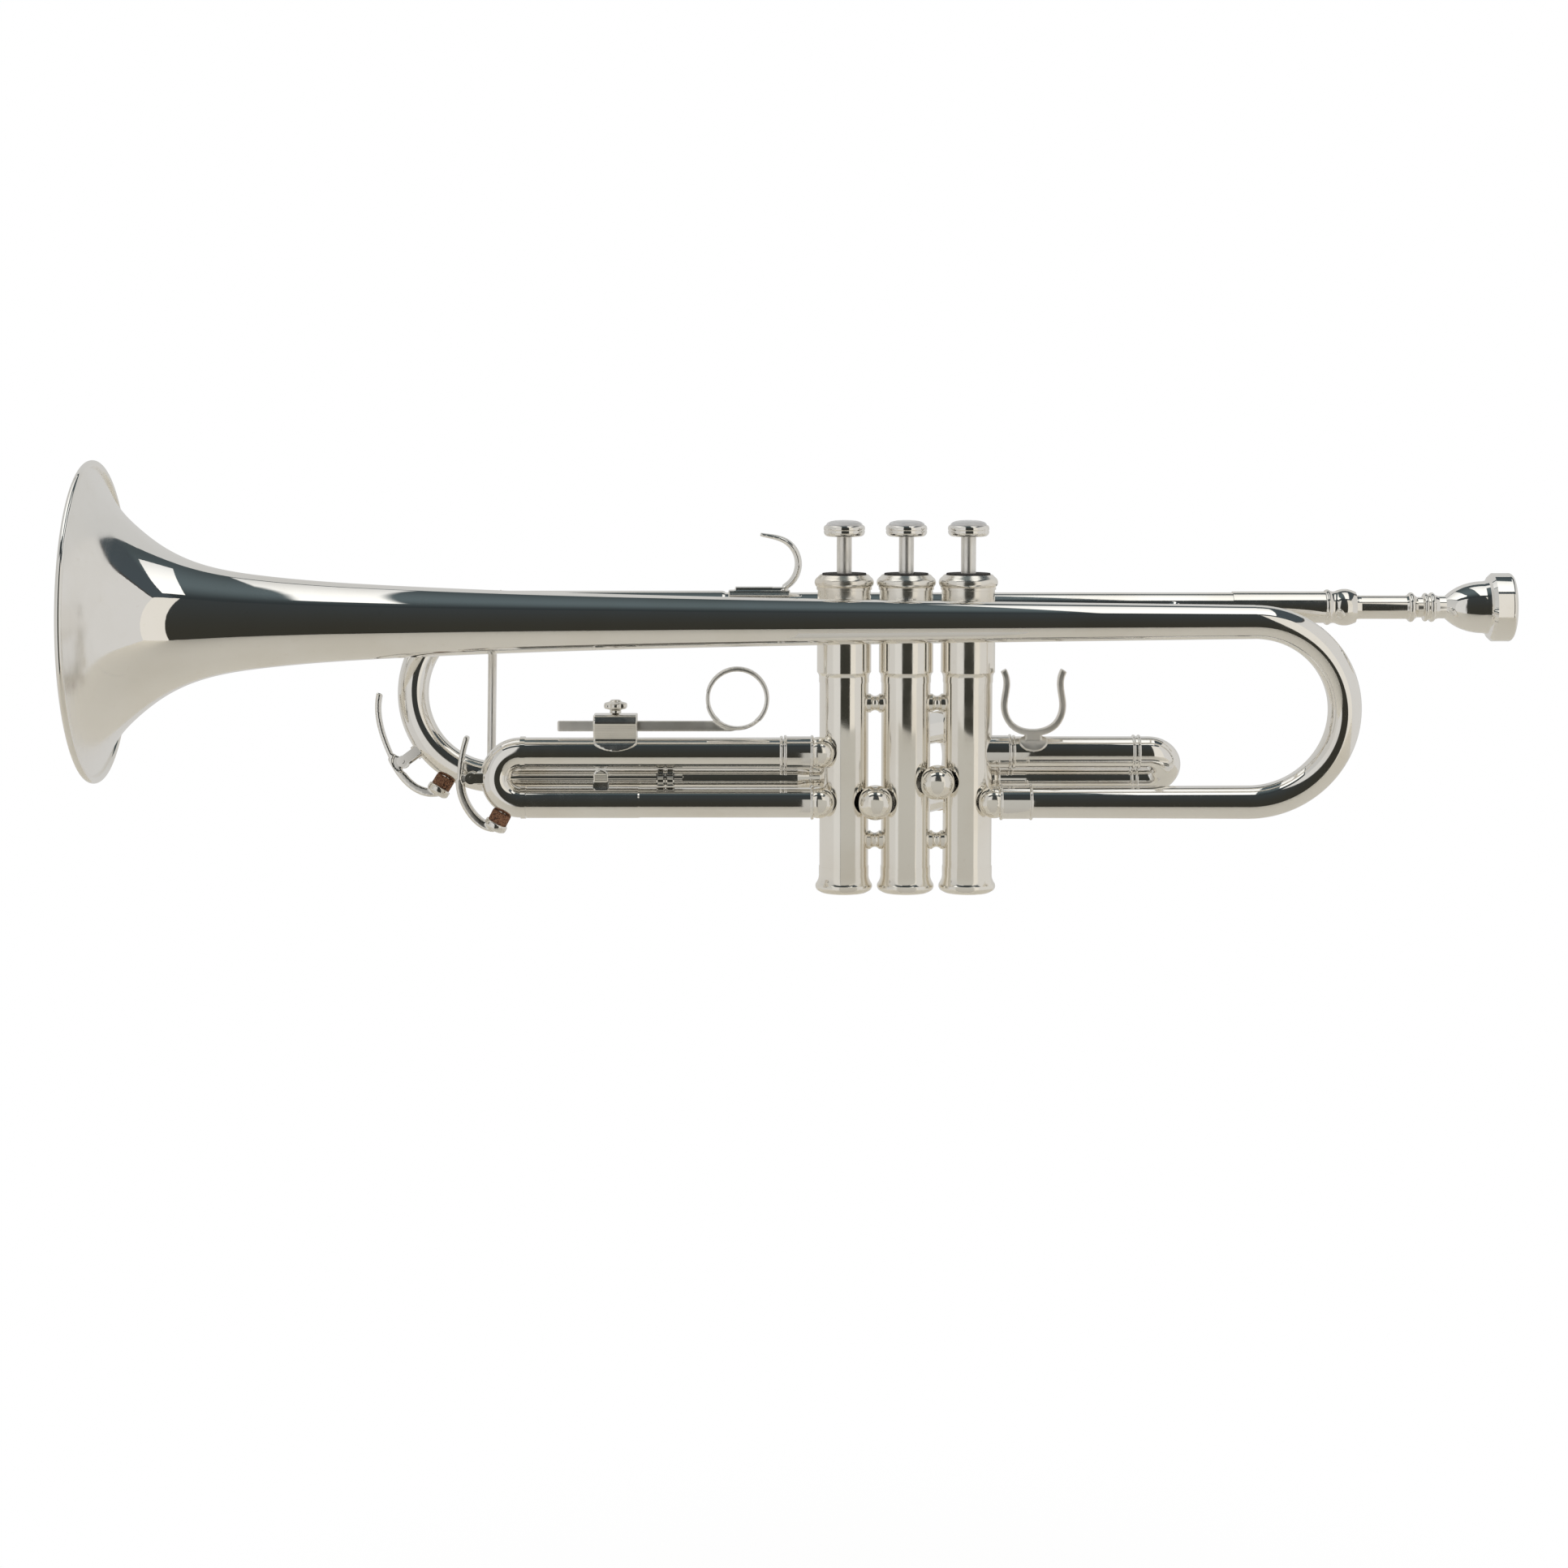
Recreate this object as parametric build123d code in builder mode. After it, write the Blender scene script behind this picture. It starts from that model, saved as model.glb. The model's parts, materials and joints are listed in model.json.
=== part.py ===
from build123d import *
import os
from math import atan2, cos, degrees, hypot, radians, sin, sqrt

# Three-valve trumpet, in millimetres.
# Frame: the origin is the hand grip, on the middle valve's axis. +X runs along the tubes to the
# mouthpiece, +Z up the valves to the finger buttons, and -Y is the player's left.
# Valve 1 is nearest the mouthpiece and valve 3 nearest the bell.

os.makedirs("parts", exist_ok=True)

# ---------------------------------------------------------------- driving dimensions

# Bell
BELL_Y = -20.0
BELL_Z = 40.0
RIM_X = -311.0
BELL_WALL = 0.6
RIM_WIRE_R = 1.3
RIM_RADIUS = 61.5
BOW_X = 132.0
BOW_TUBE_R = 6.45
TAIL_TUBE_R = 6.1
# distance from the rim, outer radius
FLARE = [
    (1.0, 59.2), (6.0, 49.1), (11.4, 41.9), (17.6, 36.0), (26.9, 29.0),
    (39.2, 23.0), (64.0, 17.8), (117.0, 13.75), (180.0, 11.2), (260.0, 9.2), (350.0, 7.7),
    (BOW_X - RIM_X, BOW_TUBE_R),
]

# Tubes
BORE_R = 4.9
INNER_R = 5.40
OUTER_BORE_R = 5.45
OUTER_R = 5.95
FERRULE_R = 6.35
BEAD_R = 6.7
SLIDE_GAP = 0.3

# Valves
PITCH = 24.0
VALVE_X = {1: PITCH, 2: 0.0, 3: -PITCH}
STROKE = 14.0
CASING_R = 9.5
CASING_BORE_R = 8.40
UPPER_R = 10.5
BAND_R = 9.7
UPPER_BORE_R = 9.3
CASING_TOP = 45.0
LEDGE_Z = 20.5
CASING_FOOT = -58.0
THREAD_FOOT = -62.0
PISTON_R = 8.36
PISTON_FOOT = -40.0
PISTON_HEAD = 19.5
BARREL_R = 8.0
BARREL_BORE_R = 7.4
BARREL_TOP = 50.0
PORT_R = 4.7
GUIDE_TOP = 23.0
STEM_R = 2.9
BUTTON_Z = 71.7
BUTTON_R = 8.0
FELT_TOP = 57.5
CAP_R = 10.3
CAP_BULGE_R = 11.45
CAP_RIM_R = 9.1
FOOT_R = 11.0
BRACE_R = 3.7
BRACE_WAIST_R = 2.8

# Heights of the tubes at the valves
KNUCKLE_32_Z = -30.8
KNUCKLE_21_Z = -23.0
TAIL_Z = -30.6
TAIL_Y = -9.0
KNUCKLE_X = 33.9
KNUCKLE_R = 6.2
KNUCKLE_FLAT = 2.0

# Main tuning slide and leadpipe
PIPE_Y = 18.0
PIPE_Z = 43.0
PIPE_R = 5.8
MAIN_LOW_Y = 4.4
MAIN_LOW_Z = -22.5
MAIN_INNER_R = 5.9
MAIN_INNER_BORE = 5.3
MAIN_OUTER_BORE = 5.95
MAIN_OUTER_R = 6.5
MAIN_END_X = -157.0
MAIN_BOW_X = -159.0
MAIN_BOW_R = 6.05
SLEEVE_FOOT_X = -70.4

# Third slide
THIRD_Y = -9.0
THIRD_UP_Z = -11.4
THIRD_LOW_Z = -30.6
THIRD_END_X = -146.7
THIRD_BOW_X = -148.9
THIRD_START_X = -47.4
THIRD_STEP_R = 6.1
STOP_Z = (THIRD_UP_Z + THIRD_LOW_Z) / 2
STOP_LUG_X = -118.0
STOP_LUG_HALF = 2.9
STOP_NUT_X = -96.5

# First slide
FIRST_UP = (0.0, -12.0)
FIRST_LOW = (9.0, -23.7)
FIRST_START_X = 41.0
FIRST_END_X = 87.8
FIRST_BOW_X = 94.0
FIRST_RING_X = 91.0

# Second slide, which points out to the far side
SECOND_ANGLE = 60.0
SECOND_UP_Z = -5.0
SECOND_LOW_Z = -32.0
SECOND_END = 27.0
SECOND_BOW = 30.6

# Mouthpiece
RECEIVER_END_X = 177.0
SHANK_START_X = 152.0
SHANK_TAPER = 0.024
SEAT_R = 4.80
SEAT_GAP = 0.03


# ---------------------------------------------------------------- helpers


def polar(angle, radius, z, x=0.0):
    """A point at an angle and radius about a valve's axis."""
    return Vector(x + radius * cos(radians(angle)), radius * sin(radians(angle)), z)


def side_plane(x=0.0, y=0.0, z=0.0):
    """Upright plane seen from the player's left: local x is +X and local y is +Z."""
    return Plane(origin=(x, y, z), x_dir=(1, 0, 0), z_dir=(0, -1, 0))


def outline(steps):
    """Closed outline: (a, b) draws a line to that point, (ma, mb, a, b) an arc through (ma, mb)."""
    here = steps[0][-2:]
    for step in steps[1:] + steps[:1]:
        there = step[-2:]
        if len(step) == 4:
            ThreePointArc(here, step[:2], there)
        else:
            Line(here, there)
        here = there


def dome(edge, edge_r, tip):
    """Arc step from (edge, edge_r) to a tip on the axis, round about the axis."""
    rise = tip - edge
    radius = (rise**2 + edge_r**2) / (2 * rise)
    half = atan2(edge_r, radius - rise) / 2
    return (tip - radius + radius * cos(half), radius * sin(half), tip, 0.0)


def turn(start, direction, steps, mode=Mode.ADD):
    """Turned shape: steps give (distance along the axis, radius)."""
    axis = Vector(direction).normalized()
    side = axis.cross(Vector(0, 1, 0.3)).normalized()
    with BuildSketch(Plane(origin=start, x_dir=axis, z_dir=side)) as half:
        with BuildLine():
            outline(steps)
        make_face()
    revolve(half.sketch, axis=Axis(start, axis), mode=mode)


def turn_x(y, z, steps, mode=Mode.ADD):
    """Turned shape about a line along X: steps give (x, radius)."""
    turn((0, y, z), (1, 0, 0), steps, mode)


def turn_z(x, steps, mode=Mode.ADD):
    """Turned shape about a valve's axis: steps give (z, radius)."""
    turn((x, 0, 0), (0, 0, 1), steps, mode)


def rod(start, end, radius, mode=Mode.ADD):
    """Straight round rod between two points."""
    run = Vector(end) - Vector(start)
    with BuildSketch(Plane(origin=start, z_dir=run)) as disc:
        Circle(radius)
    extrude(disc.sketch, amount=run.length, mode=mode)


def tube(start, end, outer, inner):
    """Straight tube between two points."""
    run = Vector(end) - Vector(start)
    with BuildSketch(Plane(origin=start, z_dir=run)) as ring:
        Circle(outer)
        Circle(inner, mode=Mode.SUBTRACT)
    extrude(ring.sketch, amount=run.length)


def half_ring(centre, first, axis, outer, inner=0.0, mode=Mode.ADD):
    """Half a turn of tube about an axis through centre, from the point first."""
    spoke = Vector(first) - Vector(centre)
    with BuildSketch(Plane(origin=first, z_dir=Vector(axis).cross(spoke))) as ring:
        Circle(outer)
        if inner > 0:
            Circle(inner, mode=Mode.SUBTRACT)
    revolve(ring.sketch, axis=Axis(centre, axis), revolution_arc=180, mode=mode)


def bead(x, y, z, tube_radius, size=0.45):
    """Small round bead about a tube that runs along X."""
    with Locations(Plane(origin=(x, y, z), z_dir=(1, 0, 0)).location):
        Torus(tube_radius, size)


def trim_casings():
    """Cuts away what would stand inside the three casings."""
    with Locations(*[(x, 0, -6) for x in VALVE_X.values()]):
        Cylinder(CASING_R, 110, mode=Mode.SUBTRACT)


def collar(x0, x1, outer, inner):
    """Outline of a collar with a bead at both ends."""
    edge = outer + 0.05
    crown = outer + 0.5
    return [
        (x0, inner), (x0, edge), (x0 + 0.6, crown, x0 + 1.2, edge), (x0 + 1.2, outer),
        (x1 - 1.2, outer), (x1 - 1.2, edge), (x1 - 0.6, crown, x1, edge), (x1, inner),
    ]


# ---------------------------------------------------------------- bell


def bell_curve():
    """Outer line of the bell, from the rim to the bow, as (x, radius)."""
    points = [(RIM_X + distance, radius) for distance, radius in FLARE]
    return Spline(*points)


with BuildPart() as bell_core:
    with BuildSketch(side_plane(0, BELL_Y, BELL_Z)):
        with BuildLine():
            wall_line = bell_curve()
            Line(wall_line @ 1, (BOW_X, 0))
            Line((BOW_X, 0), ((wall_line @ 0).X, 0))
            Line(((wall_line @ 0).X, 0), wall_line @ 0)
        make_face()
    revolve(axis=Axis((0, BELL_Y, BELL_Z), (1, 0, 0)))

with BuildPart() as bell:
    with BuildSketch(side_plane(0, BELL_Y, BELL_Z)):
        with BuildLine():
            outer_line = bell_curve()
            inner_points = []
            for step in range(25):
                share = (step / 24) ** 1.6
                along = outer_line % share
                spot = outer_line @ share
                inner_points.append((spot.X + BELL_WALL * along.Y, spot.Y - BELL_WALL * along.X))
            inner_line = Spline(*inner_points)
            Line(outer_line @ 0, inner_line @ 0)
            Line(outer_line @ 1, inner_line @ 1)
        make_face()
    revolve(axis=Axis((0, BELL_Y, BELL_Z), (1, 0, 0)))
    with Locations(Plane(origin=(RIM_X + RIM_WIRE_R, BELL_Y, BELL_Z), z_dir=(1, 0, 0)).location):
        Torus(RIM_RADIUS - RIM_WIRE_R, RIM_WIRE_R, mode=Mode.SUBTRACT)
bell.part.label = "bell"
export_step(bell.part, "parts/bell.step")

with BuildPart() as bell_rim_wire:
    with Locations(Plane(origin=(RIM_X + RIM_WIRE_R, BELL_Y, BELL_Z), z_dir=(1, 0, 0)).location):
        Torus(RIM_RADIUS - RIM_WIRE_R, RIM_WIRE_R)
bell_rim_wire.part.label = "bell_rim_wire"
export_step(bell_rim_wire.part, "parts/bell_rim_wire.step")

TAIL_START_X = KNUCKLE_X + KNUCKLE_FLAT
TAIL_FERRULE_X = 48.6

bow_top = Vector(BOW_X, BELL_Y, BELL_Z)
bow_foot = Vector(BOW_X, TAIL_Y, TAIL_Z)
bow_centre = (bow_top + bow_foot) * 0.5
bow_axis = Vector(1, 0, 0).cross(bow_foot - bow_top).normalized()

with BuildPart() as bell_bow:
    half_ring(bow_centre, bow_top, bow_axis, BOW_TUBE_R, BOW_TUBE_R - BELL_WALL)
    tail = [
        (TAIL_START_X, BORE_R), (TAIL_START_X, TAIL_TUBE_R), (TAIL_FERRULE_X, TAIL_TUBE_R),
        (BOW_X, BOW_TUBE_R), (BOW_X, BOW_TUBE_R - BELL_WALL), (TAIL_FERRULE_X, TAIL_TUBE_R - BELL_WALL),
    ]
    turn_x(TAIL_Y, TAIL_Z, tail)
bell_bow.part.label = "bell_bow"
export_step(bell_bow.part, "parts/bell_bow.step")

with BuildPart() as bell_tail_ferrule:
    turn_x(TAIL_Y, TAIL_Z, collar(TAIL_START_X, TAIL_FERRULE_X, FERRULE_R + 0.1, TAIL_TUBE_R))
bell_tail_ferrule.part.label = "bell_tail_ferrule"
export_step(bell_tail_ferrule.part, "parts/bell_tail_ferrule.step")

# ---------------------------------------------------------------- valves

MAIN_PORT_ANGLE = degrees(atan2(MAIN_LOW_Y, -sqrt(CASING_BORE_R**2 - MAIN_LOW_Y**2)))
THIRD_PORT_ANGLE = degrees(atan2(THIRD_Y, PITCH - KNUCKLE_X))
SIDE_ANGLE = degrees(atan2(TAIL_Y, PITCH / 2))
TAIL_PORT_ANGLE = degrees(atan2(TAIL_Y, KNUCKLE_X - PITCH))
FIRST_PORT_ANGLE = -TAIL_PORT_ANGLE

# angle and height of each port in a casing
CASING_PORTS = {
    1: [(180 - SIDE_ANGLE, KNUCKLE_21_Z), (TAIL_PORT_ANGLE, TAIL_Z), (0, FIRST_UP[1]),
        (FIRST_PORT_ANGLE, FIRST_LOW[1])],
    2: [(180 - SIDE_ANGLE, KNUCKLE_32_Z), (SIDE_ANGLE, KNUCKLE_21_Z), (SECOND_ANGLE, SECOND_UP_Z),
        (SECOND_ANGLE, SECOND_LOW_Z)],
    3: [(MAIN_PORT_ANGLE, MAIN_LOW_Z), (SIDE_ANGLE, KNUCKLE_32_Z), (THIRD_PORT_ANGLE, THIRD_UP_Z),
        (THIRD_PORT_ANGLE, THIRD_LOW_Z)],
}

# Each passage: angle and height in, height of its elbow on the axis, angle and height out, and 0
# for the one in line at rest or the stroke for the two in line when the valve is pressed.
PASSAGES = {
    1: [(180 - SIDE_ANGLE, KNUCKLE_21_Z, -28.5, TAIL_PORT_ANGLE, TAIL_Z, 0),
        (180 - SIDE_ANGLE, KNUCKLE_21_Z, -17.0, 0, FIRST_UP[1], STROKE),
        (FIRST_PORT_ANGLE, FIRST_LOW[1], -29.5, TAIL_PORT_ANGLE, TAIL_Z, STROKE)],
    2: [(180 - SIDE_ANGLE, KNUCKLE_32_Z, -28.0, SIDE_ANGLE, KNUCKLE_21_Z, 0),
        (180 - SIDE_ANGLE, KNUCKLE_32_Z, -30.0, SECOND_ANGLE, SECOND_LOW_Z, STROKE),
        (SECOND_ANGLE, SECOND_UP_Z, -15.0, SIDE_ANGLE, KNUCKLE_21_Z, STROKE)],
    3: [(MAIN_PORT_ANGLE, MAIN_LOW_Z, -29.5, SIDE_ANGLE, KNUCKLE_32_Z, 0),
        (MAIN_PORT_ANGLE, MAIN_LOW_Z, -17.0, THIRD_PORT_ANGLE, THIRD_UP_Z, STROKE),
        (THIRD_PORT_ANGLE, THIRD_LOW_Z, -29.5, SIDE_ANGLE, KNUCKLE_32_Z, STROKE)],
}

# The casing from its foot up: thread for the bottom cap, band, plain wall, band and wider head.
FOOT_BAND_Z = -56.7
HEAD_BAND_Z = (15.2, 16.8)
HEAD_Z = 19.2
THREAD_R = 9.0
CASING_OUTLINE = [
    (THREAD_FOOT, CASING_BORE_R), (THREAD_FOOT, THREAD_R), (CASING_FOOT, THREAD_R), (CASING_FOOT, BAND_R),
    (FOOT_BAND_Z, BAND_R), (FOOT_BAND_Z, CASING_R), (HEAD_BAND_Z[0], CASING_R), (HEAD_BAND_Z[0], BAND_R),
    (HEAD_BAND_Z[1], BAND_R), (HEAD_BAND_Z[1] + 1.4, BAND_R + 0.2, HEAD_Z, UPPER_R), (CASING_TOP, UPPER_R),
    (CASING_TOP, UPPER_BORE_R), (LEDGE_Z, UPPER_BORE_R), (LEDGE_Z, CASING_BORE_R),
]


def passage(x, route, radius, mode):
    """One air passage of a piston: two straight runs that meet on the axis."""
    angle_in, z_in, z_elbow, angle_out, z_out, lift = route
    elbow = Vector(x, 0, z_elbow + lift)
    rod(elbow, polar(angle_in, PISTON_R + 2, z_in + lift, x), radius, mode)
    rod(elbow, polar(angle_out, PISTON_R + 2, z_out + lift, x), radius, mode)
    with Locations(elbow):
        Sphere(radius, mode=mode)


for number, valve_x in VALVE_X.items():
    with BuildPart() as casing:
        turn_z(valve_x, CASING_OUTLINE)
        for angle, height in CASING_PORTS[number]:
            inside = polar(angle, CASING_R / 2, height, valve_x)
            rod(inside, polar(angle, 1.5 * CASING_R, height, valve_x), PORT_R, Mode.SUBTRACT)
    casing.part.label = f"casing_{number}"
    export_step(casing.part, f"parts/casing_{number}.step")

    with BuildPart() as hollow:
        with Locations((valve_x, 0, (PISTON_FOOT + PISTON_HEAD) / 2 - 1)):
            Cylinder(PISTON_R - 0.7, PISTON_HEAD - PISTON_FOOT - 0.5)
        for route in PASSAGES[number]:
            passage(valve_x, route, PORT_R + 0.5, Mode.SUBTRACT)

    with BuildPart() as piston:
        body = [(PISTON_FOOT, 0), (PISTON_FOOT, PISTON_R), (PISTON_HEAD, PISTON_R), (PISTON_HEAD, 0)]
        turn_z(valve_x, body)
        add(hollow.part, mode=Mode.SUBTRACT)
        for route in PASSAGES[number]:
            passage(valve_x, route, PORT_R, Mode.SUBTRACT)
        barrel = [
            (PISTON_HEAD, BARREL_BORE_R), (PISTON_HEAD, BARREL_R), (BARREL_TOP, BARREL_R),
            (BARREL_TOP, 2.0), (BARREL_TOP - 2, 2.0), (BARREL_TOP - 2, BARREL_BORE_R),
        ]
        turn_z(valve_x, barrel)
        slot_foot = LEDGE_Z - 0.5
        slot_head = GUIDE_TOP + STROKE + 0.5
        with Locations((valve_x, 0, (slot_foot + slot_head) / 2)):
            Box(20, 5.2, slot_head - slot_foot, mode=Mode.SUBTRACT)
    piston.part.label = f"piston_{number}"
    export_step(piston.part, f"parts/piston_{number}.step")

    with BuildPart() as stem:
        stem_outline = [
            (BARREL_TOP - 2, 0), (BARREL_TOP - 2, 2.0), (BARREL_TOP, 2.0), (BARREL_TOP, STEM_R),
            (BUTTON_Z, STEM_R), (BUTTON_Z, 2.0), (BUTTON_Z + 3, 2.0), (BUTTON_Z + 3, 0),
        ]
        turn_z(valve_x, stem_outline)
    stem.part.label = f"valve_stem_{number}"
    export_step(stem.part, f"parts/valve_stem_{number}.step")

    with BuildPart() as button:
        button_outline = [
            (BUTTON_Z, 2.0), (BUTTON_Z, BUTTON_R - 2.0),
            (BUTTON_Z + 0.4, BUTTON_R - 0.55, BUTTON_Z + 1.6, BUTTON_R), (BUTTON_Z + 3.5, BUTTON_R),
            (BUTTON_Z + 4.3, BUTTON_R - 0.25, BUTTON_Z + 4.8, BUTTON_R - 0.9),
            dome(BUTTON_Z + 4.8, BUTTON_R - 0.9, BUTTON_Z + 6.4), (BUTTON_Z + 3, 0.0), (BUTTON_Z + 3, 2.0),
        ]
        turn_z(valve_x, button_outline)
    button.part.label = f"finger_button_{number}"
    export_step(button.part, f"parts/finger_button_{number}.step")

    with BuildPart() as spring:
        wire_r = 0.45
        coil_height = BARREL_TOP - 2 - GUIDE_TOP - 2 * wire_r - 0.1
        with BuildLine() as coil:
            Helix(coil_height / 8, coil_height, 5.9, center=(valve_x, 0, GUIDE_TOP + wire_r + 0.05))
        with BuildSketch(Plane(origin=coil.line @ 0, z_dir=coil.line % 0)):
            Circle(wire_r)
        sweep()
    spring.part.label = f"valve_spring_{number}"
    export_step(spring.part, f"parts/valve_spring_{number}.step")

with BuildPart() as top_caps:
    for valve_x in VALVE_X.values():
        cap_outline = [
            (CASING_TOP - 5, 8.6), (CASING_TOP - 5, UPPER_BORE_R), (CASING_TOP, UPPER_BORE_R),
            (CASING_TOP, CAP_R), (CASING_TOP + 6.1, CAP_R), (CASING_TOP + 6.2, CAP_R + 0.4),
            (CASING_TOP + 7.2, CAP_R + 0.4),
            (CASING_TOP + 9.2, CAP_BULGE_R, CASING_TOP + 10.9, CAP_R + 0.1),
            (CASING_TOP + 11.9, CAP_RIM_R + 0.3), (CASING_TOP + 11.9, CAP_RIM_R - 0.3),
            (CASING_TOP + 8, 8.7), (CASING_TOP + 8, 3.2), (CASING_TOP + 6.5, 3.2), (CASING_TOP + 6.5, 8.6),
        ]
        turn_z(valve_x, cap_outline)
top_caps.part.label = "top_caps"
export_step(top_caps.part, "parts/top_caps.step")

with BuildPart() as cap_felts:
    for valve_x in VALVE_X.values():
        pad = [(CASING_TOP + 8, 3.4), (CASING_TOP + 8, 8.5), (FELT_TOP, 8.5), (FELT_TOP, 3.4)]
        turn_z(valve_x, pad)
cap_felts.part.label = "cap_felts"
export_step(cap_felts.part, "parts/cap_felts.step")

with BuildPart() as bottom_caps:
    for valve_x in VALVE_X.values():
        foot_outline = [
            (CASING_FOOT, THREAD_R), (CASING_FOOT, BAND_R), (CASING_FOOT - 1.6, BAND_R),
            (CASING_FOOT - 4.0, BAND_R + 0.3, CASING_FOOT - 5.6, FOOT_R - 0.15),
            (CASING_FOOT - 6.8, FOOT_R + 0.05, CASING_FOOT - 8.0, FOOT_R - 0.5),
            (CASING_FOOT - 8.8, FOOT_R - 1.8), (CASING_FOOT - 9.2, 6.0, CASING_FOOT - 9.4, 1.0),
            (CASING_FOOT - 8.2, 1.0), (CASING_FOOT - 7.6, CASING_BORE_R), (THREAD_FOOT, CASING_BORE_R),
            (THREAD_FOOT, THREAD_R),
        ]
        turn_z(valve_x, foot_outline)
bottom_caps.part.label = "bottom_caps"
export_step(bottom_caps.part, "parts/bottom_caps.step")

with BuildPart() as valve_guides:
    for valve_x in VALVE_X.values():
        with Locations((valve_x, 0, (LEDGE_Z + GUIDE_TOP) / 2)):
            Cylinder(BARREL_BORE_R - 0.3, GUIDE_TOP - LEDGE_Z)
            Box(2 * (UPPER_BORE_R - 0.4), 4.6, GUIDE_TOP - LEDGE_Z)
            Cylinder(3.0, GUIDE_TOP - LEDGE_Z, mode=Mode.SUBTRACT)
valve_guides.part.label = "valve_guides"
export_step(valve_guides.part, "parts/valve_guides.step")


def knuckle(centre, radius, valves, flat_x=None):
    """Ball elbow, bored towards the axes of the valves it joins, with a flat where a tube meets it."""
    with BuildPart() as ball:
        with Locations(centre):
            Sphere(radius)
        if flat_x is not None:
            side = 1 if flat_x > centre[0] else -1
            with Locations((flat_x + side * radius, centre[1], centre[2])):
                Box(2 * radius, 3 * radius, 3 * radius, mode=Mode.SUBTRACT)
            rod(centre, (flat_x, centre[1], centre[2]), BORE_R, Mode.SUBTRACT)
        for valve in valves:
            rod(centre, (VALVE_X[valve], 0, centre[2]), PORT_R, Mode.SUBTRACT)
        trim_casings()
    return ball.part


KNUCKLES = [
    ((-PITCH / 2, TAIL_Y, KNUCKLE_32_Z), KNUCKLE_R + 0.6, (3, 2), None),
    ((PITCH / 2, TAIL_Y, KNUCKLE_21_Z), KNUCKLE_R + 0.6, (2, 1), None),
    ((KNUCKLE_X, TAIL_Y, TAIL_Z), KNUCKLE_R, (1,), KNUCKLE_X + KNUCKLE_FLAT),
    ((KNUCKLE_X, FIRST_LOW[0], FIRST_LOW[1]), KNUCKLE_R, (1,), KNUCKLE_X + KNUCKLE_FLAT),
    ((-KNUCKLE_X, THIRD_Y, THIRD_UP_Z), KNUCKLE_R, (3,), -KNUCKLE_X - KNUCKLE_FLAT),
    ((-KNUCKLE_X, THIRD_Y, THIRD_LOW_Z), KNUCKLE_R, (3,), -KNUCKLE_X - KNUCKLE_FLAT),
]
balls = [knuckle(*sizes) for sizes in KNUCKLES]
with BuildPart() as knuckles:
    add(balls)
knuckles.part.label = "knuckles"
export_step(knuckles.part, "parts/knuckles.step")

with BuildPart() as casing_braces:
    for brace_x in (-PITCH / 2, PITCH / 2):
        for brace_z in (-46.5, 7.0):
            spool = [
                (brace_x - 3.4, 0), (brace_x - 3.4, BRACE_R), (brace_x - 1.7, BRACE_R),
                (brace_x, BRACE_WAIST_R, brace_x + 1.7, BRACE_R), (brace_x + 3.4, BRACE_R),
                (brace_x + 3.4, 0),
            ]
            turn_x(0, brace_z, spool)
    trim_casings()
casing_braces.part.label = "casing_braces"
export_step(casing_braces.part, "parts/casing_braces.step")

# ---------------------------------------------------------------- leadpipe and fixed sleeves

PIPE_END_X = 150.0
SLEEVE_LIP = 4.0

with BuildPart() as leadpipe:
    pipe_outline = [
        (SLEEVE_FOOT_X - SLEEVE_LIP, 5.3), (SLEEVE_FOOT_X - SLEEVE_LIP, PIPE_R), (PIPE_END_X, PIPE_R),
        (PIPE_END_X, 4.4),
    ]
    turn_x(PIPE_Y, PIPE_Z, pipe_outline)
leadpipe.part.label = "leadpipe"
export_step(leadpipe.part, "parts/leadpipe.step")


def seat_radius(x):
    """Radius of the tapered seat in the receiver."""
    return SEAT_R - SHANK_TAPER * (RECEIVER_END_X - x)


with BuildPart() as mouthpiece_receiver:
    receiver_outline = [
        (128.7, PIPE_R), (128.7, 6.2), (164.9, 6.2), (164.9, 6.5), (165.9, 7.0, 166.9, 6.6),
        (168.3, 6.2, 169.7, 6.6), (172.9, 7.2, 176.0, 6.5), (RECEIVER_END_X, 6.1),
        (RECEIVER_END_X, SEAT_R), (PIPE_END_X, seat_radius(PIPE_END_X)), (PIPE_END_X, PIPE_R),
    ]
    turn_x(PIPE_Y, PIPE_Z, receiver_outline)
mouthpiece_receiver.part.label = "mouthpiece_receiver"
export_step(mouthpiece_receiver.part, "parts/mouthpiece_receiver.step")

with BuildPart() as tuning_sleeve_upper:
    upper_outline = [
        (MAIN_END_X, MAIN_OUTER_BORE), (MAIN_END_X, MAIN_OUTER_R), (SLEEVE_FOOT_X - 1, MAIN_OUTER_R),
        (SLEEVE_FOOT_X, MAIN_OUTER_R - 0.3), (SLEEVE_FOOT_X, PIPE_R),
        (SLEEVE_FOOT_X - SLEEVE_LIP, PIPE_R), (SLEEVE_FOOT_X - SLEEVE_LIP, MAIN_OUTER_BORE),
    ]
    turn_x(PIPE_Y, PIPE_Z, upper_outline)
tuning_sleeve_upper.part.label = "tuning_sleeve_upper"
export_step(tuning_sleeve_upper.part, "parts/tuning_sleeve_upper.step")

NECK_X = -42.0
NECK_END_X = -28.0
NECK_R = 5.2

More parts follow.
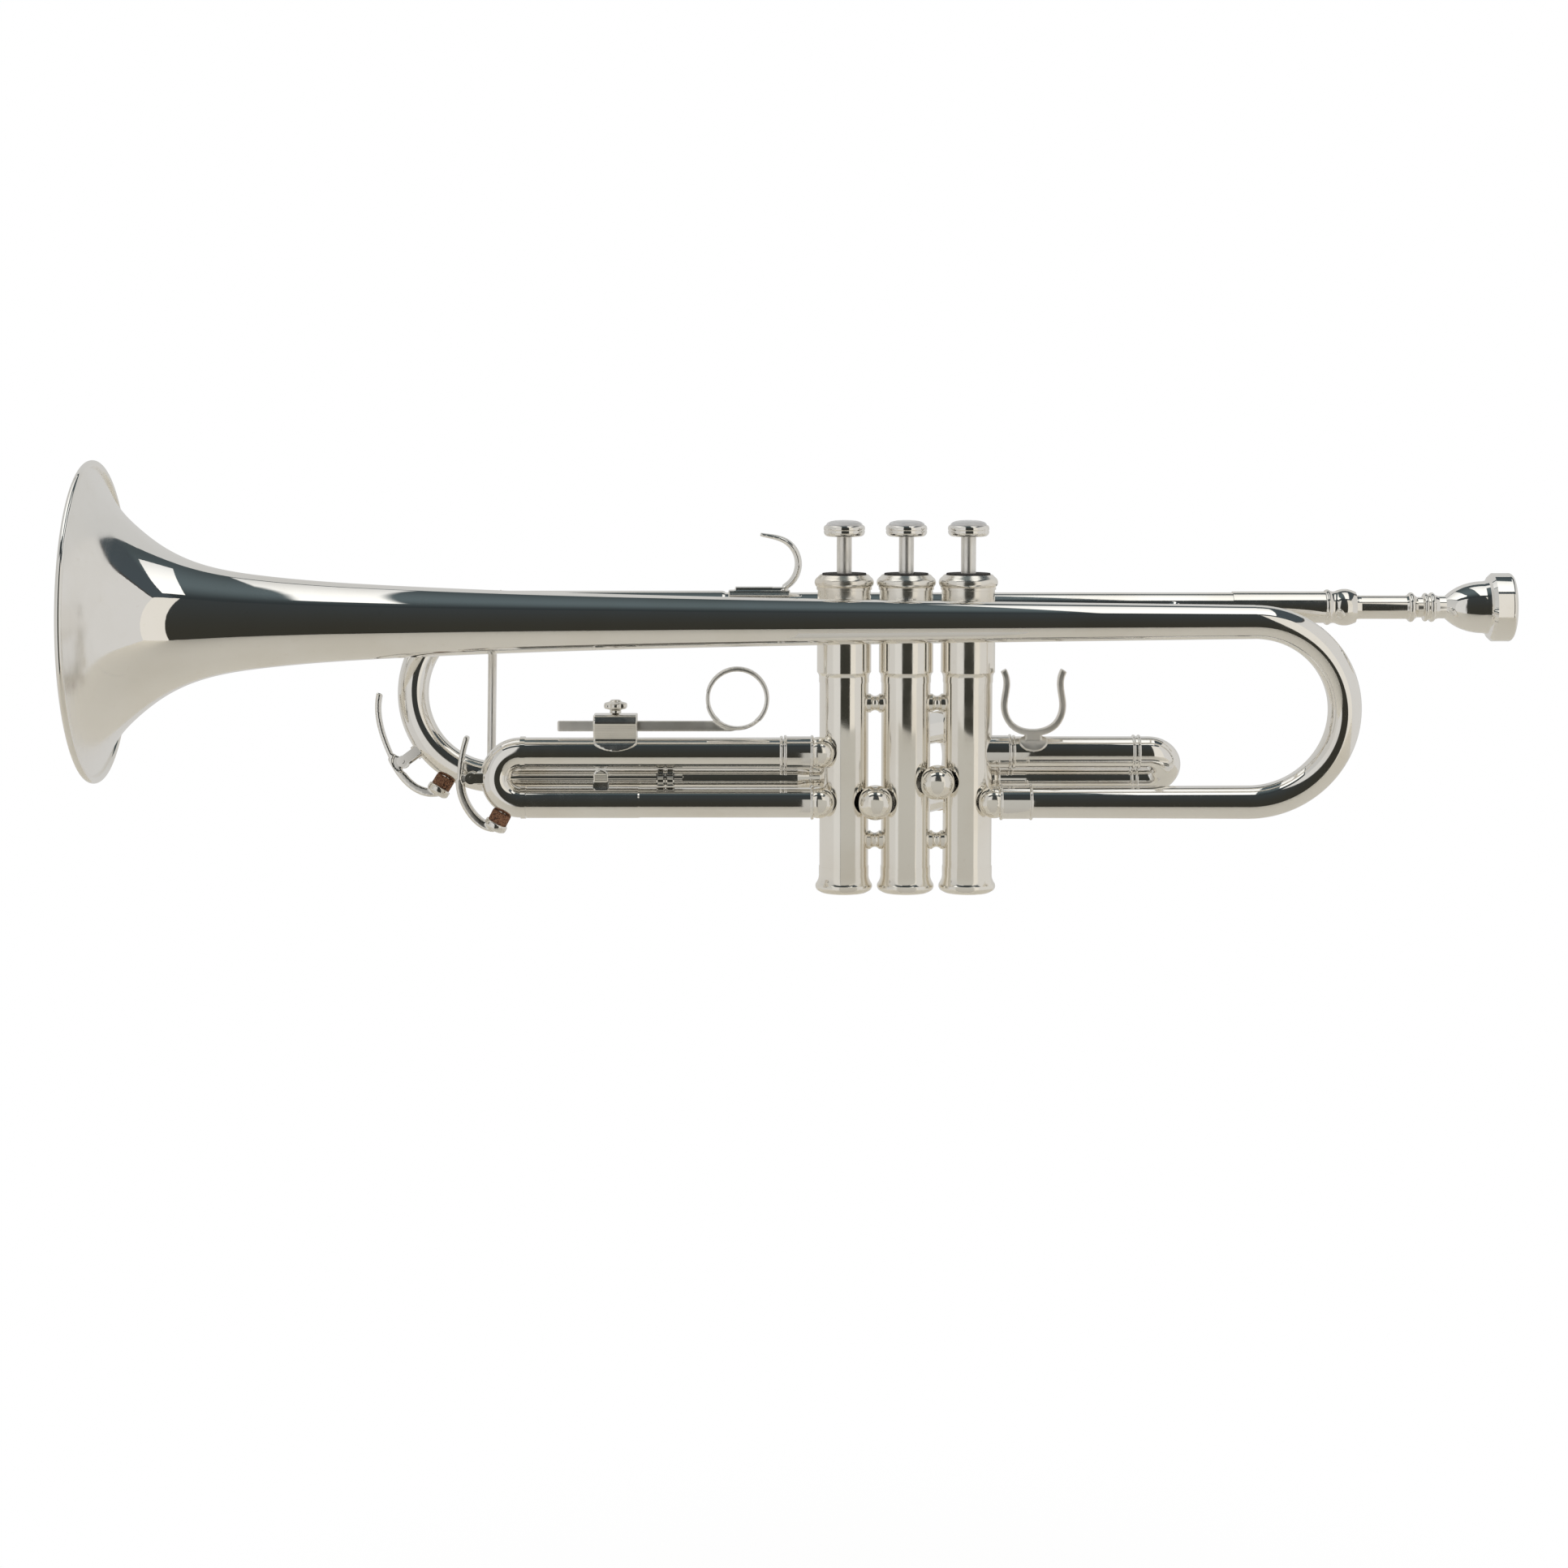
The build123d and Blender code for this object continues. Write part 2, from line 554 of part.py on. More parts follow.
with BuildPart() as tuning_sleeve_lower:
    lower_outline = [
        (MAIN_END_X, MAIN_OUTER_BORE), (MAIN_END_X, MAIN_OUTER_R), (NECK_X, MAIN_OUTER_R),
        (NECK_X + 4.5, NECK_R), (NECK_END_X, NECK_R), (NECK_END_X, PORT_R), (NECK_X, PORT_R),
        (NECK_X, MAIN_OUTER_BORE),
    ]
    turn_x(MAIN_LOW_Y, MAIN_LOW_Z, lower_outline)
    trim_casings()
tuning_sleeve_lower.part.label = "tuning_sleeve_lower"
export_step(tuning_sleeve_lower.part, "parts/tuning_sleeve_lower.step")

with BuildPart() as third_fixed_inner:
    start_x = -KNUCKLE_X - KNUCKLE_FLAT
    turn_x(THIRD_Y, THIRD_UP_Z, collar(THIRD_START_X, start_x, FERRULE_R, INNER_R))
    tube((start_x, THIRD_Y, THIRD_UP_Z), (-140, THIRD_Y, THIRD_UP_Z), INNER_R, BORE_R)
third_fixed_inner.part.label = "third_fixed_inner"
export_step(third_fixed_inner.part, "parts/third_fixed_inner.step")

with BuildPart() as third_fixed_outer:
    outer_outline = [
        (THIRD_END_X, OUTER_BORE_R), (THIRD_END_X, THIRD_STEP_R), (-103.6, THIRD_STEP_R),
        (-103.0, OUTER_R), (start_x - 1.2, OUTER_R), (start_x - 1.2, 6.4),
        (start_x - 0.6, 6.8, start_x, 6.4), (start_x, BORE_R), (start_x - 3, BORE_R),
        (start_x - 3, OUTER_BORE_R),
    ]
    turn_x(THIRD_Y, THIRD_LOW_Z, outer_outline)
third_fixed_outer.part.label = "third_fixed_outer"
export_step(third_fixed_outer.part, "parts/third_fixed_outer.step")

STOP_ROD_R = 1.2

with BuildPart() as third_stop_lug:
    foot_half = STOP_LUG_HALF + 1.4
    head_z = THIRD_UP_Z - OUTER_R - 0.5
    with BuildSketch(side_plane(STOP_LUG_X, THIRD_Y)):
        with BuildLine():
            Line((-foot_half, -26.2), (foot_half, -26.2))
            ThreePointArc((foot_half, -26.2), (STOP_LUG_HALF + 0.2, -24.2), (STOP_LUG_HALF, -22.0))
            Line((STOP_LUG_HALF, -22.0), (STOP_LUG_HALF, head_z - 1.6))
            ThreePointArc((STOP_LUG_HALF, head_z - 1.6), (0, head_z), (-STOP_LUG_HALF, head_z - 1.6))
            Line((-STOP_LUG_HALF, head_z - 1.6), (-STOP_LUG_HALF, -22.0))
            ThreePointArc((-STOP_LUG_HALF, -22.0), (-STOP_LUG_HALF - 0.2, -24.2), (-foot_half, -26.2))
        make_face()
    extrude(amount=2.2, both=True)
    lug_start = STOP_LUG_X - 2 * STOP_LUG_HALF
    lug_end = STOP_LUG_X + 2 * STOP_LUG_HALF
    rod((lug_start, THIRD_Y, STOP_Z), (lug_end, THIRD_Y, STOP_Z), STOP_ROD_R + 0.05, Mode.SUBTRACT)
    rod((lug_start, THIRD_Y, THIRD_LOW_Z), (lug_end, THIRD_Y, THIRD_LOW_Z), THIRD_STEP_R, Mode.SUBTRACT)
third_stop_lug.part.label = "third_stop_lug"
export_step(third_stop_lug.part, "parts/third_stop_lug.step")

with BuildPart() as first_fixed_inner:
    turn_x(*FIRST_UP, collar(29.0, FIRST_START_X, FERRULE_R, INNER_R))
    tube((29.0, *FIRST_UP), (84, *FIRST_UP), INNER_R, PORT_R)
    trim_casings()
first_fixed_inner.part.label = "first_fixed_inner"
export_step(first_fixed_inner.part, "parts/first_fixed_inner.step")

with BuildPart() as first_fixed_outer:
    first_x = KNUCKLE_X + KNUCKLE_FLAT
    first_outline = [
        (first_x, BORE_R), (first_x, 6.4), (first_x + 0.6, 6.8, first_x + 1.2, 6.4),
        (first_x + 1.2, OUTER_R), (FIRST_END_X - SLIDE_GAP, OUTER_R),
        (FIRST_END_X - SLIDE_GAP, OUTER_BORE_R), (first_x + 3, OUTER_BORE_R), (first_x + 3, BORE_R),
    ]
    turn_x(*FIRST_LOW, first_outline)
first_fixed_outer.part.label = "first_fixed_outer"
export_step(first_fixed_outer.part, "parts/first_fixed_outer.step")

with BuildPart() as second_fixed_outer:
    for height in (SECOND_UP_Z, SECOND_LOW_Z):
        start = polar(SECOND_ANGLE, 0, height)
        second_outline = [
            (7.0, PORT_R), (7.0, OUTER_R), (SECOND_END, OUTER_R), (SECOND_END, OUTER_BORE_R),
            (12.0, OUTER_BORE_R), (12.0, PORT_R),
        ]
        turn(start, polar(SECOND_ANGLE, 1, 0), second_outline)
    trim_casings()
second_fixed_outer.part.label = "second_fixed_outer"
export_step(second_fixed_outer.part, "parts/second_fixed_outer.step")

# ---------------------------------------------------------------- braces and finger hook


def post(start, end, flange):
    """Brace: a slim rod with a trumpet-shaped foot at each end."""
    length = (Vector(end) - Vector(start)).length
    steps = [
        (0, 0), (0, flange), (1.0, flange), (2.2, 2.3, 5.0, 1.7), (length - 5.0, 1.7),
        (length - 2.2, 2.3, length - 1.0, flange), (length, flange), (length, 0),
    ]
    turn(start, Vector(end) - Vector(start), steps)


with BuildPart() as body_braces:
    post((-115, BELL_Y + 9.6, 41), (-115, PIPE_Y - 5.8, 42), 3.6)
    post((105, BELL_Y + 5.8, 41), (105, PIPE_Y - 4.8, 42), 3.6)
    for brace_x in (-PITCH, PITCH):
        rod((brace_x, UPPER_R - 0.6, 41), (brace_x, PIPE_Y - 5.4, 41), 2.6)
        rod((brace_x, BELL_Y + 7.5, 38), (brace_x, -UPPER_R + 0.6, 38), 2.6)
    with Locations(*[(x, 0, 30) for x in VALVE_X.values()]):
        Cylinder(UPPER_R, 40, mode=Mode.SUBTRACT)
    add(bell_core.part, mode=Mode.SUBTRACT)
    rod((SLEEVE_FOOT_X, PIPE_Y, PIPE_Z), (MAIN_END_X, PIPE_Y, PIPE_Z), MAIN_OUTER_R, Mode.SUBTRACT)
    rod((SLEEVE_FOOT_X, PIPE_Y, PIPE_Z), (PIPE_END_X, PIPE_Y, PIPE_Z), PIPE_R, Mode.SUBTRACT)
body_braces.part.label = "body_braces"
export_step(body_braces.part, "parts/body_braces.step")

HOOK_WIDTH = 7.0
HOOK_STRIP = 1.4

with BuildPart() as finger_hook:
    with BuildSketch(side_plane(y=PIPE_Y)):
        with BuildLine():
            Line((-66.5, 50.3), (-52.0, 50.3))
            ThreePointArc((-52.0, 50.3), (-44.4, 53.0), (-40.1, 59.4))
            ThreePointArc((-40.1, 59.4), (-42.2, 68.4), (-50.4, 71.4))
            Line((-50.4, 71.4), (-55.4, 70.6))
        trace(line_width=HOOK_STRIP)
    extrude(amount=HOOK_WIDTH / 2, both=True)
    with Locations((-57.0, PIPE_Y, 48.6)):
        Box(24.2, HOOK_WIDTH + 1.6, 2.2)
    rod((-80, PIPE_Y, PIPE_Z), (-30, PIPE_Y, PIPE_Z), PIPE_R, Mode.SUBTRACT)
finger_hook.part.label = "finger_hook"
export_step(finger_hook.part, "parts/finger_hook.step")

# ---------------------------------------------------------------- main tuning slide

main_top = Vector(MAIN_BOW_X, PIPE_Y, PIPE_Z)
main_foot = Vector(MAIN_BOW_X, MAIN_LOW_Y, MAIN_LOW_Z)
main_centre = (main_top + main_foot) * 0.5
main_down = (main_foot - main_top).normalized()
main_side = Vector(1, 0, 0).cross(main_down).normalized()
MAIN_BEND = (main_foot - main_top).length / 2
MAIN_FACE_X = MAIN_END_X - SLIDE_GAP

with BuildPart() as tuning_bow:
    half_ring(main_centre, main_foot, main_side, MAIN_BOW_R, BORE_R)
    for y, z in ((PIPE_Y, PIPE_Z), (MAIN_LOW_Y, MAIN_LOW_Z)):
        tube((MAIN_BOW_X, y, z), (MAIN_FACE_X, y, z), MAIN_OUTER_R, BORE_R)
        bead(MAIN_BOW_X + 0.45, y, z, MAIN_OUTER_R - 0.1)
tuning_bow.part.label = "tuning_bow"
export_step(tuning_bow.part, "parts/tuning_bow.step")

with BuildPart() as tuning_legs:
    tube((MAIN_FACE_X, PIPE_Y, PIPE_Z), (-80, PIPE_Y, PIPE_Z), MAIN_INNER_R, MAIN_INNER_BORE)
    low_face = (MAIN_FACE_X, MAIN_LOW_Y, MAIN_LOW_Z)
    tube(low_face, (-46, MAIN_LOW_Y, MAIN_LOW_Z), MAIN_INNER_R, MAIN_INNER_BORE)
tuning_legs.part.label = "tuning_legs"
export_step(tuning_legs.part, "parts/tuning_legs.step")

BRACE_SHIFT = Vector(-2.6, 0, 0)

with BuildPart() as tuning_brace:
    post(main_top + BRACE_SHIFT + main_down * 4.5, main_foot + BRACE_SHIFT - main_down * 4.5, 3.2)
    half_ring(main_centre, main_foot, main_side, MAIN_BOW_R, mode=Mode.SUBTRACT)
    for y, z in ((PIPE_Y, PIPE_Z), (MAIN_LOW_Y, MAIN_LOW_Z)):
        rod((MAIN_BOW_X, y, z), (MAIN_FACE_X, y, z), MAIN_OUTER_R, Mode.SUBTRACT)
        with Locations(Plane(origin=(MAIN_BOW_X + 0.45, y, z), z_dir=(1, 0, 0)).location):
            Torus(MAIN_OUTER_R - 0.1, 0.45, mode=Mode.SUBTRACT)
tuning_brace.part.label = "tuning_brace"
export_step(tuning_brace.part, "parts/tuning_brace.step")

# ---------------------------------------------------------------- third slide

third_top = Vector(THIRD_BOW_X, THIRD_Y, THIRD_UP_Z)
third_foot = Vector(THIRD_BOW_X, THIRD_Y, THIRD_LOW_Z)
third_centre = (third_top + third_foot) * 0.5
THIRD_BEND = (THIRD_UP_Z - THIRD_LOW_Z) / 2
THIRD_FACE_X = THIRD_END_X - SLIDE_GAP

with BuildPart() as third_bow:
    half_ring(third_centre, third_foot, (0, 1, 0), OUTER_R, BORE_R)
    for z in (THIRD_UP_Z, THIRD_LOW_Z):
        tube((THIRD_BOW_X, THIRD_Y, z), (THIRD_FACE_X, THIRD_Y, z), FERRULE_R, BORE_R)
third_bow.part.label = "third_bow"
export_step(third_bow.part, "parts/third_bow.step")

with BuildPart() as third_sleeve:
    sleeve_start = THIRD_START_X - SLIDE_GAP
    sleeve_outline = [
        (THIRD_FACE_X, OUTER_BORE_R), (THIRD_FACE_X, OUTER_R), (sleeve_start - 1.2, OUTER_R),
        (sleeve_start - 1.2, 6.2), (sleeve_start - 0.6, 6.6, sleeve_start, 6.2),
        (sleeve_start, OUTER_BORE_R),
    ]
    turn_x(THIRD_Y, THIRD_UP_Z, sleeve_outline)
third_sleeve.part.label = "third_sleeve"
export_step(third_sleeve.part, "parts/third_sleeve.step")

with BuildPart() as third_leg:
    tube((THIRD_FACE_X, THIRD_Y, THIRD_LOW_Z), (-45, THIRD_Y, THIRD_LOW_Z), INNER_R, BORE_R)
third_leg.part.label = "third_leg"
export_step(third_leg.part, "parts/third_leg.step")

NUT_WIDTH = 3.2

with BuildPart() as third_stop_rod:
    rod((-153.5, THIRD_Y, STOP_Z), (-86.5, THIRD_Y, STOP_Z), STOP_ROD_R)
    for nut_x in (STOP_NUT_X, STOP_NUT_X + NUT_WIDTH + 0.5):
        rod((nut_x, THIRD_Y, STOP_Z), (nut_x + NUT_WIDTH, THIRD_Y, STOP_Z), 3.1)
    half_ring(third_centre, third_foot, (0, 1, 0), OUTER_R, mode=Mode.SUBTRACT)
third_stop_rod.part.label = "third_stop_rod"
export_step(third_stop_rod.part, "parts/third_stop_rod.step")

RING_X = -65.3
RING_Z = 9.6
RING_R = 12.1
RING_BAND = 1.25
RING_WIDTH = 5.0
RING_ROD = (2.5, 4.0)
RING_ROD_Z = -1.0
HOLDER_X = (-120.6, -103.8)
HOLDER_MID = sum(HOLDER_X) / 2
HOLDER_TOP = 3.7
SCREW_R = 1.25

HOLDER_WIDTH = 8.6
PLATE = 0.9

# The holder's foot is a plate bent over the slide tube, with a rounded lower edge.
with BuildPart() as holder_plate:
    with BuildSketch(side_plane(y=THIRD_Y)):
        with BuildLine():
            Line((HOLDER_X[0], -7.0), (HOLDER_X[0], HOLDER_TOP - 8))
            Line((HOLDER_X[0], HOLDER_TOP - 8), (HOLDER_X[1], HOLDER_TOP - 8))
            Line((HOLDER_X[1], HOLDER_TOP - 8), (HOLDER_X[1], -7.0))
            ThreePointArc((HOLDER_X[1], -7.0), (HOLDER_MID, -10.2), (HOLDER_X[0], -7.0))
        make_face()
    extrude(amount=2 * OUTER_R, both=True)
    plate_start = (HOLDER_X[0] - 5, THIRD_Y, THIRD_UP_Z)
    plate_end = (HOLDER_X[1] + 5, THIRD_Y, THIRD_UP_Z)
    rod(plate_start, plate_end, OUTER_R + PLATE, Mode.INTERSECT)

with BuildPart() as ring_holder:
    with Locations((HOLDER_MID, THIRD_Y, (HOLDER_TOP - 7.0) / 2)):
        Box(HOLDER_X[1] - HOLDER_X[0], HOLDER_WIDTH, HOLDER_TOP + 7.0)
    fillet(ring_holder.edges().filter_by(Axis.X).group_by(Axis.Z)[-1], 0.8)
    add(holder_plate.part)
    rod(plate_start, plate_end, OUTER_R, Mode.SUBTRACT)
    with Locations((HOLDER_MID, THIRD_Y, RING_ROD_Z)):
        Box(40, RING_ROD[0] + 0.1, RING_ROD[1] + 0.1, mode=Mode.SUBTRACT)
    rod((HOLDER_MID, THIRD_Y, 0), (HOLDER_MID, THIRD_Y, 8), SCREW_R + 0.05, Mode.SUBTRACT)
ring_holder.part.label = "ring_holder"
export_step(ring_holder.part, "parts/ring_holder.step")

with BuildPart() as finger_ring:
    with Locations(((-134.6 - 72.0) / 2, THIRD_Y, RING_ROD_Z)):
        Box(134.6 - 72.0, RING_ROD[0], RING_ROD[1])
    with BuildSketch(side_plane(y=THIRD_Y)):
        with BuildLine():
            Polyline((-72.0, 1.0), (-65.3, 1.0), (-65.3, -2.4), (-67.5, -3.0), (-72.0, -3.0), close=True)
        make_face()
    extrude(amount=RING_ROD[0] / 2, both=True)
    rod((RING_X, THIRD_Y - RING_WIDTH / 2, RING_Z), (RING_X, THIRD_Y + RING_WIDTH / 2, RING_Z), RING_R)
    rod((RING_X, THIRD_Y - 5, RING_Z), (RING_X, THIRD_Y + 5, RING_Z), RING_R - RING_BAND, Mode.SUBTRACT)
finger_ring.part.label = "finger_ring"
export_step(finger_ring.part, "parts/finger_ring.step")

with BuildPart() as thumb_screw:
    screw_outline = [
        (1.1, 0), (1.1, SCREW_R), (HOLDER_TOP + 0.3, SCREW_R), (HOLDER_TOP + 0.3, 2.4), (5.4, 2.0),
        (5.9, 4.4), (6.9, 4.75, 7.9, 4.4), (8.5, 2.2), (9.2, 1.9), (9.2, 0),
    ]
    turn((HOLDER_MID, THIRD_Y, 0), (0, 0, 1), screw_outline)
    with Locations((HOLDER_MID, THIRD_Y, 7.0)):
        with PolarLocations(5.4, 6):
            Cylinder(1.5, 3.2, mode=Mode.SUBTRACT)
thumb_screw.part.label = "thumb_screw"
export_step(thumb_screw.part, "parts/thumb_screw.step")

# ---------------------------------------------------------------- first and second slides

first_top = Vector(FIRST_BOW_X, *FIRST_UP)
first_foot = Vector(FIRST_BOW_X, *FIRST_LOW)
first_centre = (first_top + first_foot) * 0.5
first_side = Vector(1, 0, 0).cross(first_foot - first_top).normalized()

with BuildPart() as first_bow:
    half_ring(first_centre, first_top, first_side, OUTER_R, BORE_R)
    for end in (first_top, first_foot):
        tube(Vector(FIRST_END_X, end.Y, end.Z), end, OUTER_R, BORE_R)
        turn_x(end.Y, end.Z, collar(FIRST_END_X, FIRST_RING_X, OUTER_R + 0.2, BORE_R))
first_bow.part.label = "first_bow"
export_step(first_bow.part, "parts/first_bow.step")

with BuildPart() as first_sleeve:
    sleeve_x = FIRST_START_X + SLIDE_GAP
    sleeve_outline = [
        (sleeve_x, OUTER_BORE_R), (sleeve_x, 6.1), (sleeve_x + 0.6, 6.5, sleeve_x + 1.2, 6.1),
        (sleeve_x + 1.2, OUTER_R), (FIRST_END_X, OUTER_R), (FIRST_END_X, OUTER_BORE_R),
    ]
    turn_x(*FIRST_UP, sleeve_outline)
first_sleeve.part.label = "first_sleeve"
export_step(first_sleeve.part, "parts/first_sleeve.step")

with BuildPart() as first_leg:
    tube((42, *FIRST_LOW), (FIRST_END_X, *FIRST_LOW), INNER_R, BORE_R)
first_leg.part.label = "first_leg"
export_step(first_leg.part, "parts/first_leg.step")

SADDLE_X = 49.3
SADDLE_Y = -2.5
SADDLE_STRIP = 2.4
SADDLE_WIDTH = 4.8

# The saddle's foot is an oval plate bent over the slide tube, on the player's side of its top.
with BuildPart() as saddle_plate:
    foot_plane = Plane(origin=(SADDLE_X, *FIRST_UP), x_dir=(1, 0, 0), z_dir=(0, -1, 1))
    with BuildSketch(foot_plane):
        Ellipse(5.6, 4.0)
    extrude(amount=2 * OUTER_R)
    saddle_start = (SADDLE_X - 12, *FIRST_UP)
    saddle_end = (SADDLE_X + 12, *FIRST_UP)
    rod(saddle_start, saddle_end, OUTER_R + PLATE, Mode.INTERSECT)

with BuildPart() as thumb_saddle:
    with BuildSketch(side_plane(SADDLE_X, SADDLE_Y)):
        with BuildLine():
            Spline(
                (-11.7, 20.0), (-10.4, 14.0), (-11.3, 5.5), (-8.4, -1.2), (0, -4.2),
                (8.4, -1.2), (11.3, 5.5), (10.4, 14.0), (11.7, 20.0),
            )
        trace(line_width=SADDLE_STRIP)
    extrude(amount=SADDLE_WIDTH / 2, both=True)
    with Locations((SADDLE_X, SADDLE_Y, -6.6)):
        Box(6.0, SADDLE_WIDTH, 4.0)
    add(saddle_plate.part)
    rod(saddle_start, saddle_end, OUTER_R, Mode.SUBTRACT)
thumb_saddle.part.label = "thumb_saddle"
export_step(thumb_saddle.part, "parts/thumb_saddle.step")

second_way = polar(SECOND_ANGLE, 1, 0)
second_side = Vector(0, 0, 1).cross(second_way)
second_middle = polar(SECOND_ANGLE, SECOND_BOW, (SECOND_UP_Z + SECOND_LOW_Z) / 2)
SECOND_BEND = (SECOND_UP_Z - SECOND_LOW_Z) / 2
SECOND_FACE = SECOND_END + SLIDE_GAP

KNOB_R = 3.9
KNOB_NECK_R = 1.8
KNOB_REACH = 11.0

with BuildPart() as second_bow:
    bend_start = polar(SECOND_ANGLE, SECOND_BOW, SECOND_UP_Z)
    neck_start = polar(SECOND_ANGLE, SECOND_BOW + SECOND_BEND, second_middle.Z)
    knob_centre = polar(SECOND_ANGLE, SECOND_BOW + SECOND_BEND + KNOB_REACH, second_middle.Z)
    half_ring(second_middle, bend_start, second_side, OUTER_R)
    for height in (SECOND_UP_Z, SECOND_LOW_Z):
        face = polar(SECOND_ANGLE, SECOND_FACE, height)
        rod(face, polar(SECOND_ANGLE, SECOND_BOW, height), FERRULE_R)
    rod(neck_start, knob_centre, KNOB_NECK_R)
    with Locations(knob_centre):
        Sphere(KNOB_R)
    half_ring(second_middle, bend_start, second_side, BORE_R, mode=Mode.SUBTRACT)
    for height in (SECOND_UP_Z, SECOND_LOW_Z):
        face = polar(SECOND_ANGLE, SECOND_FACE, height)
        rod(face, polar(SECOND_ANGLE, SECOND_BOW, height), BORE_R, Mode.SUBTRACT)
second_bow.part.label = "second_bow"
export_step(second_bow.part, "parts/second_bow.step")

with BuildPart() as second_legs:
    for height in (SECOND_UP_Z, SECOND_LOW_Z):
        tube(polar(SECOND_ANGLE, 13, height), polar(SECOND_ANGLE, SECOND_FACE, height), INNER_R, BORE_R)
second_legs.part.label = "second_legs"
export_step(second_legs.part, "parts/second_legs.step")

# ---------------------------------------------------------------- water keys

PIN_R = 0.9
NIPPLE_RISE = 1.5
CORK_R = 3.5
CORK_HEIGHT = 4.4
CORK_GAP = 0.05
LEVER_WIDTH = 4.6
EAR_INSIDE = 2.6
EAR_OUTSIDE = 3.7
PIN_LENGTH = 9.0
BARREL_OUTSIDE = 2.2
TOUCH_THICK = 1.5
ARM_THICK = 2.6
WEB_THICK = 3.0


def bow_plane(centre, side):
    """Plane of a bow, seen from the player's left: local x is +X, local y is up."""
    return Plane(origin=centre, x_dir=(1, 0, 0), z_dir=side)


def spoke(angle, radius):
    """Point in a bow's plane."""
    return Vector(radius * cos(radians(angle)), radius * sin(radians(angle)), 0)


def key_seat(plane, bend, tube_r, cork_angle, pivot):
    """Nipple, two-eared saddle and pin of a water key, brazed to the outside of a bow."""
    surface = bend + tube_r
    with BuildPart() as seat:
        nipple_start = plane.from_local_coords(spoke(cork_angle, surface - 1.5))
        nipple_end = plane.from_local_coords(spoke(cork_angle, surface + NIPPLE_RISE))
        tube(nipple_start, nipple_end, 2.6, 1.4)
        pivot_angle = degrees(atan2(pivot[1], pivot[0]))
        root = spoke(pivot_angle, surface - 1.0)
        for side in (-1, 1):
            with BuildSketch(plane.offset(side * EAR_INSIDE)) as ear:
                with BuildLine():
                    Line((root.X, root.Y), pivot)
                trace(line_width=3.6)
                with Locations(pivot):
                    Circle(BARREL_OUTSIDE)
                    Circle(PIN_R, mode=Mode.SUBTRACT)
            extrude(ear.sketch, amount=side * (EAR_OUTSIDE - EAR_INSIDE))
        foot_plane = Plane(
            origin=plane.from_local_coords(spoke(pivot_angle, surface - 1.6)),
            x_dir=plane.z_dir,
            z_dir=plane.from_local_coords(spoke(pivot_angle, 1)) - plane.origin,
        )
        with BuildSketch(foot_plane) as foot:
            RectangleRounded(2 * EAR_OUTSIDE, 5.2, 1.2)
        extrude(foot.sketch, amount=2.6)
        spindle_start = plane.from_local_coords(Vector(pivot[0], pivot[1], -PIN_LENGTH / 2))
        spindle_end = plane.from_local_coords(Vector(pivot[0], pivot[1], PIN_LENGTH / 2))
        rod(spindle_start, spindle_end, PIN_R)
    return seat.part


def smooth_line(points):
    """Straight line through two points, or a smooth curve through more."""
    if len(points) == 2:
        return Line(*points)
    return Spline(*points)


def key_lever(plane, bend, tube_r, cork_angle, pivot, curve):
    """Lever of a water key: thin touch piece, barrel on the pin, thicker arm and cork cup."""
    surface = bend + tube_r
    cup_floor = surface + NIPPLE_RISE + CORK_GAP + CORK_HEIGHT
    touch, arm = curve
    cup_middle = spoke(cork_angle, cup_floor + 0.5)
    limbs = [
        (touch + arm[:1], TOUCH_THICK),
        (arm + [(cup_middle.X, cup_middle.Y)], ARM_THICK),
        ([pivot, arm[0]], WEB_THICK),
    ]
    with BuildPart() as lever:
        for points, thickness in limbs:
            with BuildSketch(plane) as side_view:
                with BuildLine():
                    smooth_line(points)
                trace(line_width=thickness)
            extrude(side_view.sketch, amount=LEVER_WIDTH / 2, both=True)
        barrel_start = plane.from_local_coords(Vector(pivot[0], pivot[1], -LEVER_WIDTH / 2))
        barrel_end = plane.from_local_coords(Vector(pivot[0], pivot[1], LEVER_WIDTH / 2))
        rod(barrel_start, barrel_end, BARREL_OUTSIDE)
        start = plane.from_local_coords(spoke(cork_angle, 0))
        way = plane.from_local_coords(spoke(cork_angle, 1)) - plane.origin
        cup_lip = cup_floor - 1.6
        cup_back = cup_floor + 1.2
        cup_r = CORK_R + 0.7
        cup = [
            (cup_floor, 0), (cup_floor, CORK_R), (cup_lip, CORK_R), (cup_lip, cup_r),
            (cup_floor + 0.4, cup_r), (cup_back, CORK_R - 0.6), (cup_back, 0),
        ]
        turn(start, way, cup)
        hole_start = plane.from_local_coords(Vector(pivot[0], pivot[1], -5))
        hole_end = plane.from_local_coords(Vector(pivot[0], pivot[1], 5))
        rod(hole_start, hole_end, PIN_R + 0.05, Mode.SUBTRACT)
        cork_start = plane.from_local_coords(spoke(cork_angle, cup_floor - 4))
        cork_end = plane.from_local_coords(spoke(cork_angle, cup_floor))
        rod(cork_start, cork_end, CORK_R, Mode.SUBTRACT)
    return lever.part


def key_cork(plane, bend, tube_r, cork_angle):
    """Cork pad of a water key."""
    face = bend + tube_r + NIPPLE_RISE + CORK_GAP
    with BuildPart() as cork:
        start = plane.from_local_coords(spoke(cork_angle, face))
        end = plane.from_local_coords(spoke(cork_angle, face + CORK_HEIGHT))
        rod(start, end, CORK_R)
    return cork.part


